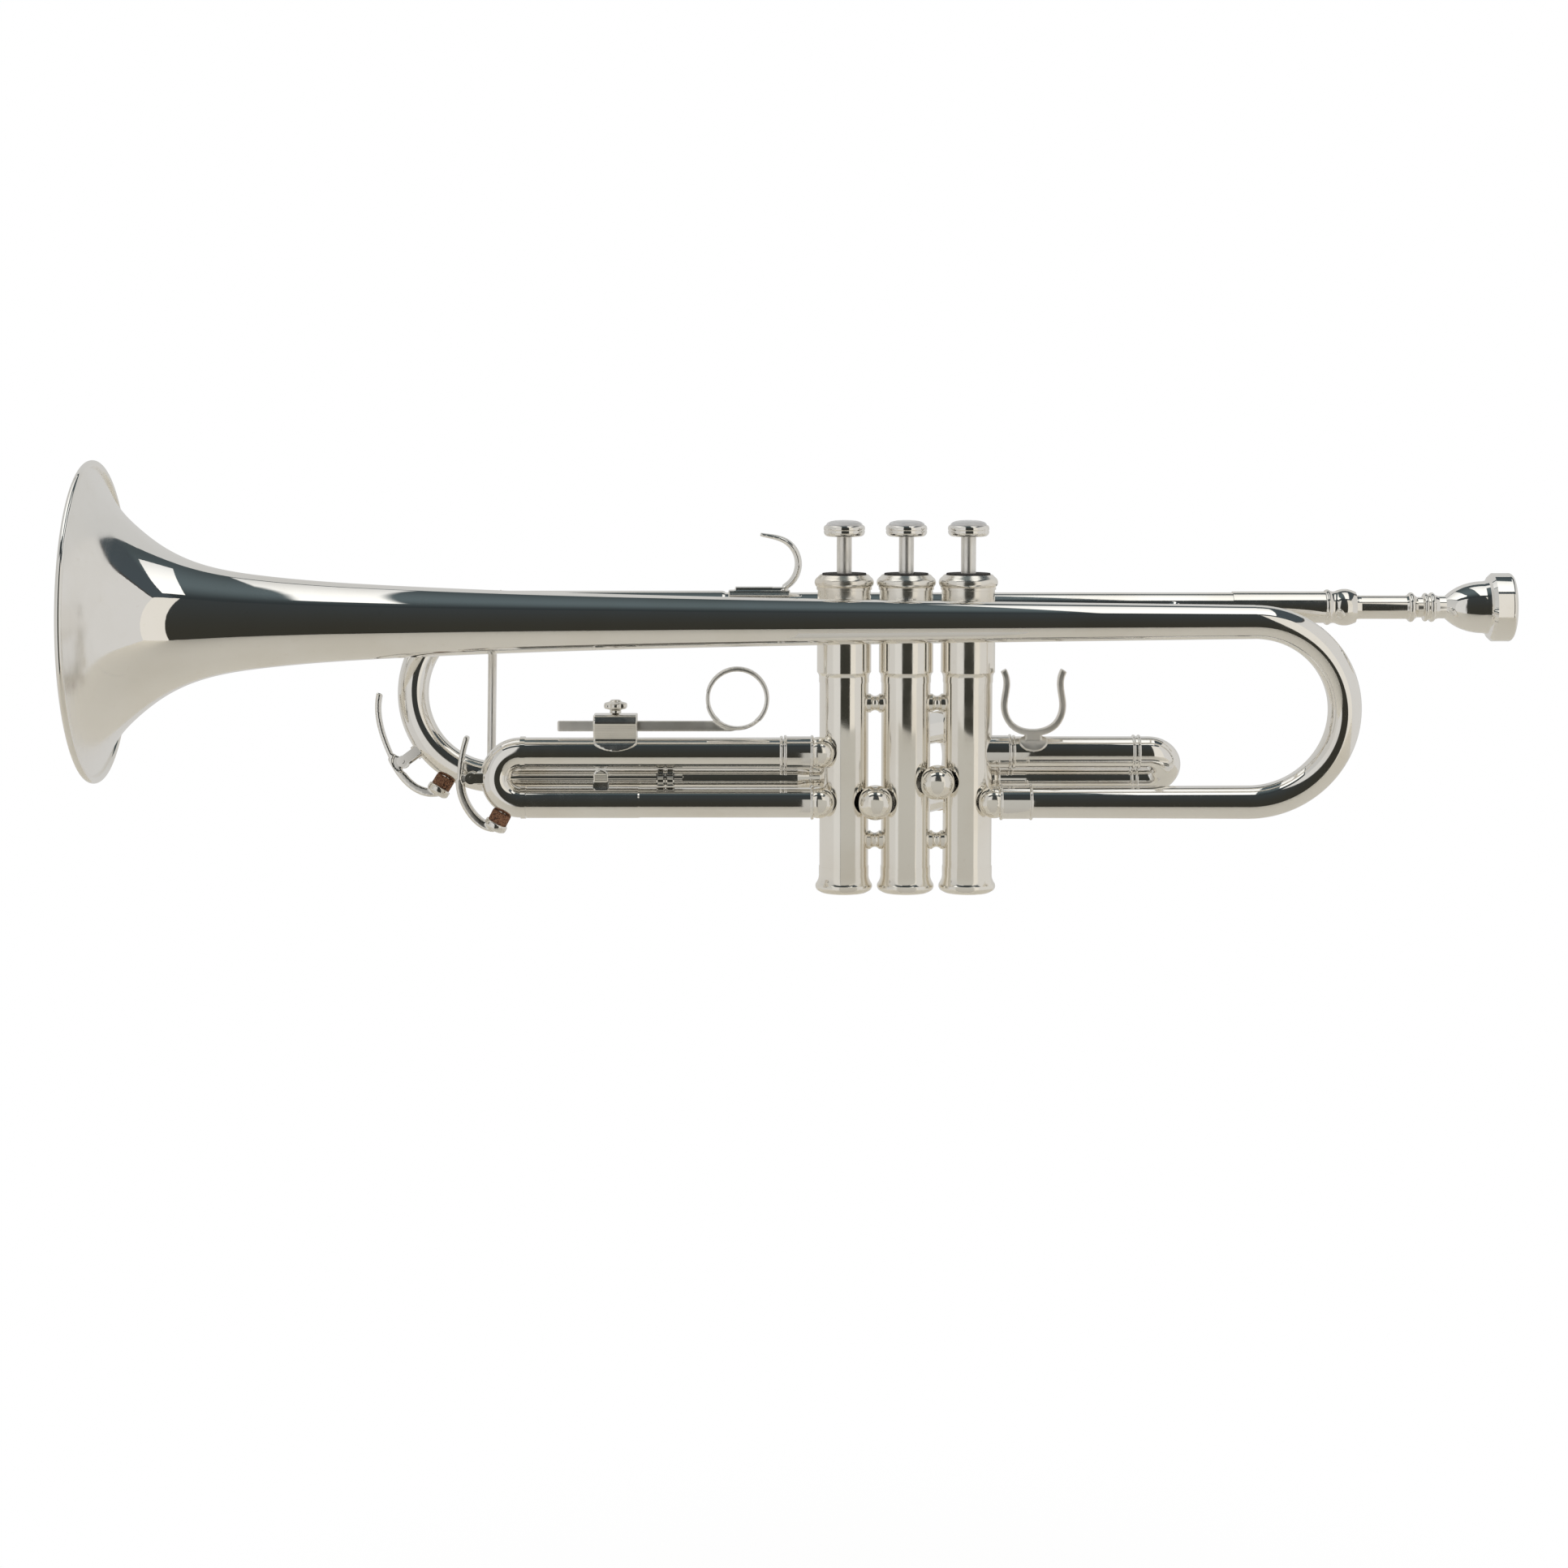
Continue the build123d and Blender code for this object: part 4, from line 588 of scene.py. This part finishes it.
ALONG_STROKE = (1.0, 1.0, 0.03)
EVEN = (1.0, 1.0, 1.0)
piston_metal = drawn_metal(
    "piston_metal", (0.80, 0.79, 0.76, 1.0), (0.66, 0.65, 0.62, 1.0), 0.22, 0.12, ALONG_STROKE
)
spring_steel = drawn_metal(
    "spring_steel", (0.64, 0.63, 0.62, 1.0), (0.44, 0.42, 0.40, 1.0), 0.28, 0.15, EVEN
)
print("working metals:", piston_metal.name, spring_steel.name)

# %% [markdown]
# ## Felt, cork, plastic and pearl
# The soft parts are small but they stop the instrument from looking cast in one piece. Felt is
# a mat of fibres, so it is rough with a deep fine bump. Cork is made of
# grains with dark pits between them. The valve guides are moulded plastic. The finger buttons
# carry discs of pearl, whose layers shift between cream, grey and a little pink.

# %% Felt


def soft_surface(board, tint, rough, normal, **more):
    """Ends a material that isn't metal with its shader."""
    values = {"Base Color": tint, "Roughness": rough, "Normal": normal, **more}
    shader = board.add("ShaderNodeBsdfPrincipled", {}, values)
    board.add("ShaderNodeOutputMaterial", {}, {"Surface": shader})


felt, board = new_material("cap_felt")
place = board.place()
fibres = fine_noise(board, place, 2600.0, 4.0)
cloud = fine_noise(board, place, 300.0)
tint = board.mix(fibres.ramp(0.3, 0.7), (0.035, 0.032, 0.032, 1.0), (0.14, 0.13, 0.125, 1.0))
normal = board.bump(fibres + cloud, 0.3 * MM, 0.9)
soft_surface(board, tint, 0.95, normal)
print("felt ready")

# %% Cork
cork, board = new_material("key_cork")
place = board.place()
grains = board.add("ShaderNodeTexVoronoi", {}, {"Vector": place, "Scale": 1100.0})
pits = fine_noise(board, place, 1800.0, 3.0).ramp(0.52, 0.62)
tint = board.mix(grains.ramp(0.1, 0.7), (0.42, 0.22, 0.13, 1.0), (0.30, 0.14, 0.075, 1.0))
tint = board.mix(pits, tint, (0.09, 0.045, 0.03, 1.0))
normal = board.bump(grains - pits, 0.25 * MM, 0.8)
soft_surface(board, tint, pits * 0.2 + 0.75, normal)
print("cork ready")

# %% Guide plastic
plastic, board = new_material("guide_plastic")
place = board.place()
cloud = fine_noise(board, place, 200.0, 3.0)
grain = fine_noise(board, place, 1500.0)
tint = board.mix(cloud, (0.86, 0.85, 0.80, 1.0), (0.78, 0.76, 0.70, 1.0))
normal = board.bump(grain, 0.05 * MM, 0.3)
soft_surface(board, tint, cloud * 0.2 + 0.35, normal)
print("plastic ready")

# %% Pearl
pearl, board = new_material("button_pearl")
place = board.place()
bent = fine_noise(board, place, 240.0, 3.0)
flow_place = board.add("ShaderNodeMapping", {}, {"Vector": place, "Scale": (1.0, 0.35, 1.0)})
flow_values = {"Vector": flow_place, "Scale": 420.0, "Distortion": 1.4}
flow = board.add("ShaderNodeTexNoise", {}, flow_values)
tint = board.mix(bent.ramp(0.3, 0.7), (0.93, 0.92, 0.92, 1.0), (0.88, 0.88, 0.90, 1.0))
tint = board.mix(flow.ramp(0.5, 0.75), tint, (0.93, 0.90, 0.91, 1.0))
normal = board.bump(flow, 0.01 * MM, 0.1)
soft_surface(board, tint, 0.28, normal, **{"Coat Weight": 0.3})
print("pearl ready")

# %% [markdown]
# ## Finishes on the CAD pieces
# The record of the instrument says which slot each solid takes its finish from. A few pieces
# share the silver slot but are rubbed more by the hand. The casings, their braces, the bottom
# caps and the knuckles get the warmer, duller plate and the top caps their own. The stems and
# the brace of the tuning slide are satin.

# %% Finishes
FINISHES = {
    "silver_plate": silver,
    "slide_nickel": slide_nickel,
    "piston_metal": piston_metal,
    "spring_steel": spring_steel,
    "guide_plastic": plastic,
    "cap_felt": felt,
    "key_cork": cork,
    "button_pearl": pearl,
}
WARMER = ("casing_", "bottom_caps", "knuckles")
SATIN = ("valve_stem", "tuning_brace")


def finish_of(name, slot_name):
    if name.startswith(WARMER):
        return casing_silver
    if name.startswith(SATIN):
        return handled_silver
    if name == "top_caps":
        return cap_silver
    if name == "bell":
        return bell_silver
    return FINISHES[slot_name]


for subpart in frame["record"]["subparts"]:
    node = nodes[subpart["node"]]
    for material_slot in node.material_slots:
        material_slot.material = finish_of(subpart["node"], subpart["material_slot"])
print(len(nodes), "CAD pieces finished")

# %% [markdown]
# ## Turned pieces
# Nearly everything on a brass instrument is turned: it is an outline swept once round an axis.
# The outline is drawn from one point by extruding it from place to place, and Spin sweeps it.
# The seam is then merged and the normals are made to agree.

# %% Draw and spin
SEAM_GAP = MM / 1000
SOFT_CREASE = 60  # edges sharper than this, in degrees, stay hard
TURNED_CREASE = 50
KNURL_CREASE = 25


def draw_outline(name, points):
    """A chain of edges, extruded from one point, left open in edit mode."""
    bpy.ops.object.select_all(action="DESELECT")
    bpy.ops.mesh.primitive_plane_add(size=MM, location=points[0])
    piece = bpy.context.object
    piece.name = name
    bpy.ops.object.mode_set(mode="EDIT")
    bpy.ops.mesh.select_all(action="SELECT")
    bpy.ops.mesh.merge(type="CENTER")
    for start, end in zip(points, points[1:]):
        bpy.ops.mesh.extrude_vertices_move(TRANSFORM_OT_translate={"value": end - start})
    return piece


def spin(centre, axis, steps):
    """Sweeps the piece in edit mode once round the axis, and goes back to object mode."""
    bpy.ops.mesh.select_all(action="SELECT")
    bpy.ops.mesh.spin(steps=steps, angle=math.tau, center=centre, axis=axis)
    bpy.ops.mesh.select_all(action="SELECT")
    bpy.ops.mesh.remove_doubles(threshold=SEAM_GAP)
    bpy.ops.mesh.normals_make_consistent(inside=False)
    bpy.ops.object.mode_set(mode="OBJECT")


def body_with(name):
    """The body that a CAD piece rides on."""
    return body_of(nodes[name])[0]


def alone(piece):
    """Makes the piece the only selected and active one."""
    bpy.ops.object.select_all(action="DESELECT")
    piece.select_set(True)
    bpy.context.view_layer.objects.active = piece


def settle(piece, body, slot_name, crease):
    """Puts the piece's place in its mesh, smooths it, and hangs it on its body."""
    alone(piece)
    bpy.ops.object.transform_apply(location=True, rotation=True, scale=True)
    bpy.ops.object.shade_smooth_by_angle(angle=math.radians(crease))
    piece.data.materials.clear()
    piece.data.materials.append(FINISHES[slot_name])
    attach(piece, body)


print("ready to turn")

# %% [markdown]
# ## The bell, spun again
# The CAD bell is right in shape, but it is stored as loose triangles of uneven size, and a
# mirror shows every one of them. A maker spins the sheet on a mandrel, and only needs the
# mandrel's radius at a few places. Here they are joined by a cubic spline, which has no sudden
# change of bend, because in a mirror even a small one shows. The outline is then spun as even
# rings, and Solidify gives the sheet its thickness on the inside.

# %% Bell
BELL_WALL = 0.6 * MM
BELL_SIDES = 160
BELL_STEPS = 9  # rings between two places of the mandrel
BELL_RIM_X = -311.0
MANDREL = (  # (distance from the rim, radius) in mm
    (1.0, 59.2), (6.0, 49.1), (11.4, 41.9), (17.6, 36.0), (26.9, 29.0), (39.2, 23.0),
    (64.0, 17.8), (117.0, 13.75), (180.0, 11.2), (260.0, 9.2), (350.0, 7.7), (443.0, 6.5),
)


def smooth_through(points, steps):
    """Places on a cubic spline that runs through the given points, so many steps apart."""
    gaps = [(end - start).length for start, end in zip(points, points[1:])]
    slopes = [(end - start) / gap for start, end, gap in zip(points, points[1:], gaps)]
    still = points[0] * 0
    share = [0.0]
    part = [still]
    for i in range(1, len(gaps)):
        pivot = 2 * (gaps[i - 1] + gaps[i]) - gaps[i - 1] * share[i - 1]
        share.append(gaps[i] / pivot)
        part.append(((slopes[i] - slopes[i - 1]) * 6 - part[i - 1] * gaps[i - 1]) / pivot)
    bends = [still] * len(points)
    for i in reversed(range(1, len(gaps))):
        bends[i] = part[i] - bends[i + 1] * share[i]
    places = []
    for i, gap in enumerate(gaps):
        for step in range(steps):
            far = step / steps
            near = 1 - far
            sag = bends[i] * (near**3 - near) + bends[i + 1] * (far**3 - far)
            places.append(points[i] * near + points[i + 1] * far + sag * (gap * gap / 6))
    return places + [points[-1]]


controls = []
for distance, radius in MANDREL:
    controls.append(Vector(((BELL_RIM_X + distance) * MM, BELL_AXIS.y, BELL_AXIS.z + radius * MM)))
points = smooth_through(controls, BELL_STEPS)
bell = draw_outline("bell_spun", points)
spin((0, BELL_AXIS.y, BELL_AXIS.z), (1, 0, 0), BELL_SIDES)
last_face = max(bell.data.polygons, key=lambda face: (bell.matrix_world @ face.center).x)
last_spoke = bell.matrix_world @ last_face.center - BELL_AXIS
last_spoke.x = 0
if last_face.normal.dot(last_spoke) < 0:
    bell.data.flip_normals()
wall = bell.modifiers.new("wall", "SOLIDIFY")
wall.thickness = BELL_WALL
wall.offset = -1.0
bpy.ops.object.modifier_apply(modifier=wall.name)
settle(bell, "horn", "silver_plate", SOFT_CREASE)
bell.data.materials[0] = bell_silver
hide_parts("bell")
print("bell has", len(points), "rings of", BELL_SIDES)

# %% [markdown]
# ## Cast and bent pieces, worn round
# The ring, saddle, keys, holder and lug are cast or bent from strip, then tumbled with stones
# until their edges are round. In CAD their edges are sharp, which a mirror shows as a hard
# black line. A copy of each solid is rebuilt from small even cells and smoothed, which rounds
# every edge alike. A bevel would do it too, but it fails where such edges run into each other.

# %% Worn pieces
CELL = 0.28 * MM
TUMBLED = {
    "finger_ring": handled_silver,
    "thumb_saddle": handled_silver,
    "third_stop_lug": worn_silver,
    "ring_holder": worn_silver,
    "thumb_screw": worn_silver,
    "tuning_key_lever": worn_silver,
    "third_key_lever": worn_silver,
}


def merged_copy(name):
    """A copy of a CAD piece whose loose triangles are joined."""
    twin = nodes[name].copy()
    twin.data = nodes[name].data.copy()
    twin.name = name + "_worn"
    bpy.context.collection.objects.link(twin)
    alone(twin)
    bpy.ops.object.mode_set(mode="EDIT")
    bpy.ops.mesh.select_all(action="SELECT")
    bpy.ops.mesh.remove_doubles(threshold=SEAM_GAP)
    bpy.ops.object.mode_set(mode="OBJECT")
    return twin


def tumble(piece, passes=8):
    """Rebuilds a closed piece from even cells and wears its edges round."""
    alone(piece)
    cells = piece.modifiers.new("cells", "REMESH")
    cells.mode = "VOXEL"
    cells.voxel_size = CELL
    bpy.ops.object.modifier_apply(modifier=cells.name)
    wear = piece.modifiers.new("wear", "SMOOTH")
    wear.factor = 0.5
    wear.iterations = passes
    bpy.ops.object.modifier_apply(modifier=wear.name)


def pick(piece, wanted):
    """Goes to edit mode with only the corners selected for which wanted(place) is true."""
    alone(piece)
    bpy.ops.object.mode_set(mode="EDIT")
    bpy.ops.mesh.select_mode(type="VERT")
    bpy.ops.mesh.select_all(action="DESELECT")
    bpy.ops.object.mode_set(mode="OBJECT")
    for corner in piece.data.vertices:
        corner.select = wanted(corner.co)
    bpy.ops.object.mode_set(mode="EDIT")


def hang(piece, name, finish):
    """Gives a worn piece its finish and puts it in the place of its CAD piece."""
    settle(piece, body_with(name), "silver_plate", SOFT_CREASE)
    piece.data.materials[0] = finish
    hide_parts(name)
    print(name, "worn,", len(piece.data.polygons), "faces")


worn = {}
for name, finish in TUMBLED.items():
    worn[name] = merged_copy(name)
    tumble(worn[name])
    hang(worn[name], name, finish)

# %% [markdown]
# ## Stouter stock, leaning faces
# The ring and the touch pieces of the keys are bent from thicker stock than their flat parts,
# so they are fattened along the normals. The fronts of the ring holder, the ring's rod and the
# stop lug aren't plumb: they lean over a little, where they were pressed. A leaning face mirrors
# the table instead of the dark gap, and the holder's top edge leans back, which draws its dark
# line. Rows of corners are moved, a little more for each step.

# %% Stouter stock
RING_LEFT = -77.0 * MM
RING_ROD_TOP = 1.2 * MM
RING_FATTER = 0.22 * MM
KEY_CLEAR = 4.6 * MM
KEY_FATTER = 0.3 * MM
KEY_PIVOTS = {
    "tuning_key_lever": Vector((-196.0, 5.6, -16.8)) * MM,
    "third_key_lever": Vector((-167.9, -9.0, -21.0)) * MM,
}


def fatten(piece, wanted, amount):
    """Moves the wanted corners out along their normals."""
    pick(piece, wanted)
    bpy.ops.transform.shrink_fatten(value=amount)
    bpy.ops.object.mode_set(mode="OBJECT")


def on_band(place):
    return place.x > RING_LEFT and place.z > RING_ROD_TOP


fatten(worn["finger_ring"], on_band, RING_FATTER)
for name, pivot in KEY_PIVOTS.items():
    fatten(worn[name], lambda place: (place - pivot).length > KEY_CLEAR, KEY_FATTER)
print("ring and keys fattened")

# %% Leaning faces
ROW = 0.4 * MM
LEANS = (  # (piece, front, start and end height, share), in mm
    ("ring_holder", -11.8, -6.0, 1.2, -0.27),
    ("ring_holder", -11.8, 1.2, 3.8, 0.55),
    ("finger_ring", -10.5, 0.8, -3.0, 0.30),
    ("third_stop_lug", -10.0, -17.6, -26.4, 0.22),
)
SOFTENED = {"ring_holder": 4, "finger_ring": 2, "third_stop_lug": 2}


def lean(piece, front, start, end, share):
    """Moves the face before front forwards or back, by that share of the height, row by row."""
    for step in range(round(abs(end - start) / ROW)):
        if end > start:
            row = start + step * ROW
            pick(piece, lambda place: place.y < front and place.z > row)
        else:
            row = start - step * ROW
            pick(piece, lambda place: place.y < front and place.z < row)
        bpy.ops.transform.translate(value=(0, share * ROW, 0))
        bpy.ops.object.mode_set(mode="OBJECT")


def soften(piece, passes):
    """Smooths away the steps between the rows."""
    wear = piece.modifiers.new("soften", "SMOOTH")
    wear.iterations = passes
    alone(piece)
    bpy.ops.object.modifier_apply(modifier=wear.name)


for name, front, start, end, share in LEANS:
    lean(worn[name], front * MM, start * MM, end * MM, share)
for name, passes in SOFTENED.items():
    soften(worn[name], passes)
print("holder, rod and lug lean")

# %% [markdown]
# ## Corks that have taken the nipple's shape
# A water key's cork is pressed on its nipple by a spring for years, so it swallows the nipple
# and nearly touches the tube. The end of each cork is drawn out over the nipple, and its side
# bulges a little.

# %% Corks
CORK_WAYS = {
    "tuning_key_cork": Vector((-0.515, -0.174, -0.839)),
    "third_key_cork": Vector((-0.469, 0.0, -0.883)),
}
CORK_DRAWN = 1.60 * MM
CORK_BULGE = 0.3 * MM
CORK_PASSES = 6

for name, way in CORK_WAYS.items():
    pad = merged_copy(name)
    low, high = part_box(name)
    middle = (low + high) / 2
    pick(pad, lambda place: (place - middle).dot(way) < -MM)
    bpy.ops.transform.translate(value=way * -CORK_DRAWN)
    bpy.ops.object.mode_set(mode="OBJECT")
    tumble(pad, CORK_PASSES)
    fatten(pad, lambda place: True, CORK_BULGE)
    settle(pad, body_with(name), "key_cork", SOFT_CREASE)
    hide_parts(name)
print(len(CORK_WAYS), "corks drawn over their nipples")

# %% [markdown]
# ## The finger hook
# The little finger rests in a hook that is forged, not bent from even strip: it is thin at the
# tip and swells towards its root. A poly curve with a radius at each point gives the swelling
# bar, and stretching it sideways makes it a strip. The flat foot is kept from the CAD solid, cut
# off above the pipe. Both are rebuilt as one piece, which also gives the root its fillet.

# %% Hook
HOOK_LINE = (  # (x, z, radius) in mm, from the tip to the root
    (-56.6, 71.6, 0.70), (-53.3, 71.0, 0.90), (-50.0, 70.3, 1.05), (-46.7, 69.0, 1.20),
    (-43.8, 66.4, 1.32), (-42.1, 63.0, 1.40), (-41.7, 59.5, 1.45), (-42.5, 56.0, 1.45),
    (-44.5, 52.9, 1.40), (-47.4, 50.6, 1.30),
)
HOOK_STEPS = 5
HOOK_STRETCH = 2.4
HOOK_CUT = 50.9 * MM
HOOK_PASSES = 6

pipe_y = (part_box("leadpipe")[0].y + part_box("leadpipe")[1].y) / 2
line = smooth_through([Vector(place) * MM for place in HOOK_LINE], HOOK_STEPS)
bpy.ops.object.select_all(action="DESELECT")
bpy.ops.curve.primitive_nurbs_path_add()
crook = bpy.context.object
spline = crook.data.splines[0]
spline.points.add(len(line) - len(spline.points))
spline.type = "POLY"
for point, (x, z, thick) in zip(spline.points, line):
    point.co = (x, 0, z, 1)
    point.radius = thick
crook.data.bevel_depth = 1.0
crook.data.bevel_resolution = 5
crook.data.use_fill_caps = True
bpy.ops.object.convert(target="MESH")
crook = bpy.context.object
stretch = Matrix.Translation((0, pipe_y, 0)) @ Matrix.Diagonal((1, HOOK_STRETCH, 1, 1))
crook.data.transform(stretch)
bpy.ops.object.mode_set(mode="EDIT")
bpy.ops.mesh.select_all(action="SELECT")
bpy.ops.mesh.remove_doubles(threshold=SEAM_GAP)
bpy.ops.mesh.normals_make_consistent(inside=False)
bpy.ops.object.mode_set(mode="OBJECT")

hook = merged_copy("finger_hook")
bpy.ops.object.mode_set(mode="EDIT")
bpy.ops.mesh.select_all(action="SELECT")
bpy.ops.mesh.bisect(
    plane_co=(0, 0, HOOK_CUT), plane_no=(0, 0, 1), use_fill=True, clear_outer=True
)
bpy.ops.object.mode_set(mode="OBJECT")
crook.select_set(True)
bpy.ops.object.join()
tumble(hook, HOOK_PASSES)
hang(hook, "finger_hook", worn_silver)

# %% [markdown]
# ## Finger buttons and their pearls
# A finger button is turned from bar: a soft bead round the side with one fine groove in it, and
# a seat on top for a disc of pearl. The disc is nearly as wide as the button and domed. Both
# are turned as outlines, and each rides on its own valve, so they go down together.

# %% Buttons and pearls
BUTTON_OUTLINE = (  # (radius, height) in mm
    (0.0, 0.0), (6.2, 0.0), (6.8, 0.12), (7.3, 0.42), (7.7, 0.9), (7.92, 1.5), (7.95, 2.0),
    (7.82, 2.25), (7.82, 2.4), (7.97, 2.65), (8.0, 3.1), (7.93, 3.6), (7.72, 4.05),
    (7.4, 4.3), (7.2, 4.3), (7.12, 4.2), (7.12, 3.5), (0.0, 3.5),
)
PEARL_RADIUS = 7.05
PEARL_FOOT = 3.6
PEARL_EDGE = 4.3
PEARL_DOME = 1.95
PEARL_RINGS = 10
PEARL_FLATNESS = 0.62  # the smaller, the flatter the dome
TURNED_SIDES = 72

pearl_outline = [(0.0, PEARL_FOOT), (PEARL_RADIUS, PEARL_FOOT)]
for ring in range(PEARL_RINGS + 1):
    angle = ring / PEARL_RINGS * math.pi / 2
    width = PEARL_RADIUS * abs(math.cos(angle)) ** PEARL_FLATNESS if ring < PEARL_RINGS else 0.0
    pearl_outline.append((width, PEARL_EDGE + PEARL_DOME * math.sin(angle)))


def turned(name, centre, outline):
    """A piece turned round an upright axis, from (radius, height) pairs in mm."""
    points = [centre + Vector((radius, 0, height)) * MM for radius, height in outline]
    piece = draw_outline(name, points)
    spin(centre, (0, 0, 1), TURNED_SIDES)
    return piece


for number in (1, 2, 3):
    button_low, button_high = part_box(f"finger_button_{number}")
    centre = (button_low + button_high) / 2
    centre.z = button_low.z
    button = turned(f"finger_button_{number}_turned", centre, BUTTON_OUTLINE)
    settle(button, f"valve_{number}", "silver_plate", TURNED_CREASE)
    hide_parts(f"finger_button_{number}")
    disc = turned(f"button_pearl_{number}", centre, pearl_outline)
    settle(disc, f"valve_{number}", "button_pearl", TURNED_CREASE)
print("3 buttons with pearl discs,", round(2 * PEARL_RADIUS, 1), "mm across")

# %% [markdown]
# ## Springs on the horn
# Each valve spring stands on a guide that stays in the casing and pushes up the barrel, so it
# gets shorter when the button goes down. The CAD spring rides on the valve and can't shorten.
# A copy rides on the horn instead.

for number in (1, 2, 3):
    name = f"valve_spring_{number}"
    spring = merged_copy(name)
    settle(spring, "horn", "spring_steel", SOFT_CREASE)
    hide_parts(name)
    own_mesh(spring)

# %% [markdown]
# ## Knurled nuts
# The two nuts on the stop rod are turned by hand, so their rims are knurled. A cylinder with an
# even number of sides gets its ridges by pushing every second edge outwards, and a bevel
# breaks the sharp rims. The second nut is a copy.

# %% Knurled nuts
rod_low, rod_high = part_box("third_stop_rod")
ROD_AXIS = Vector((0, (rod_low.y + rod_high.y) / 2, (rod_low.z + rod_high.z) / 2))
NUT_STARTS = (-96.5 * MM, -92.8 * MM)
NUT_WIDTH = 3.2 * MM
NUT_RIM = 0.45 * MM
NUT_RADIUS = 3.12 * MM
KNURL_DEPTH = 0.12 * MM
KNURLS = 30
RIM_BREAK = 0.1 * MM
HARD_EDGE = 60

bpy.ops.object.select_all(action="DESELECT")
bpy.ops.mesh.primitive_cylinder_add(
    vertices=2 * KNURLS,
    radius=NUT_RADIUS,
    depth=NUT_WIDTH - 2 * NUT_RIM,
    rotation=(0, math.pi / 2, 0),
)
nut = bpy.context.object
nut.name = "stop_nut_knurl_1"
bpy.ops.object.transform_apply(location=False, rotation=True, scale=False)


def on_ridge(place):
    """True for every second edge round the nut."""
    turn = math.atan2(place.z, place.y) / math.tau * 2 * KNURLS
    return round(turn) % 2 == 0


pick(nut, on_ridge)
grown = 1 + KNURL_DEPTH / NUT_RADIUS
bpy.ops.transform.resize(value=(1, grown, grown), center_override=(0, 0, 0))
bpy.ops.object.mode_set(mode="OBJECT")
rims = nut.modifiers.new("rims", "BEVEL")
rims.width = RIM_BREAK
rims.limit_method = "ANGLE"
rims.angle_limit = math.radians(HARD_EDGE)
bpy.ops.object.modifier_apply(modifier=rims.name)
second_nut = nut.copy()
second_nut.data = nut.data.copy()
second_nut.name = "stop_nut_knurl_2"
bpy.context.collection.objects.link(second_nut)
for piece, start in zip((nut, second_nut), NUT_STARTS):
    piece.data.transform(Matrix.Translation((start + NUT_WIDTH / 2, ROD_AXIS.y, ROD_AXIS.z)))
    settle(piece, body_with("third_stop_rod"), "silver_plate", KNURL_CREASE)
print("2 nuts with", KNURLS, "ridges each")

# %% [markdown]
# ## Sizes
# The dressed instrument must stay as large as the CAD says. Its box is printed in mm.

# %% Sizes
low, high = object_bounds()
print("visual box in mm:", [round(v / MM, 1) for v in (*low, *high)])
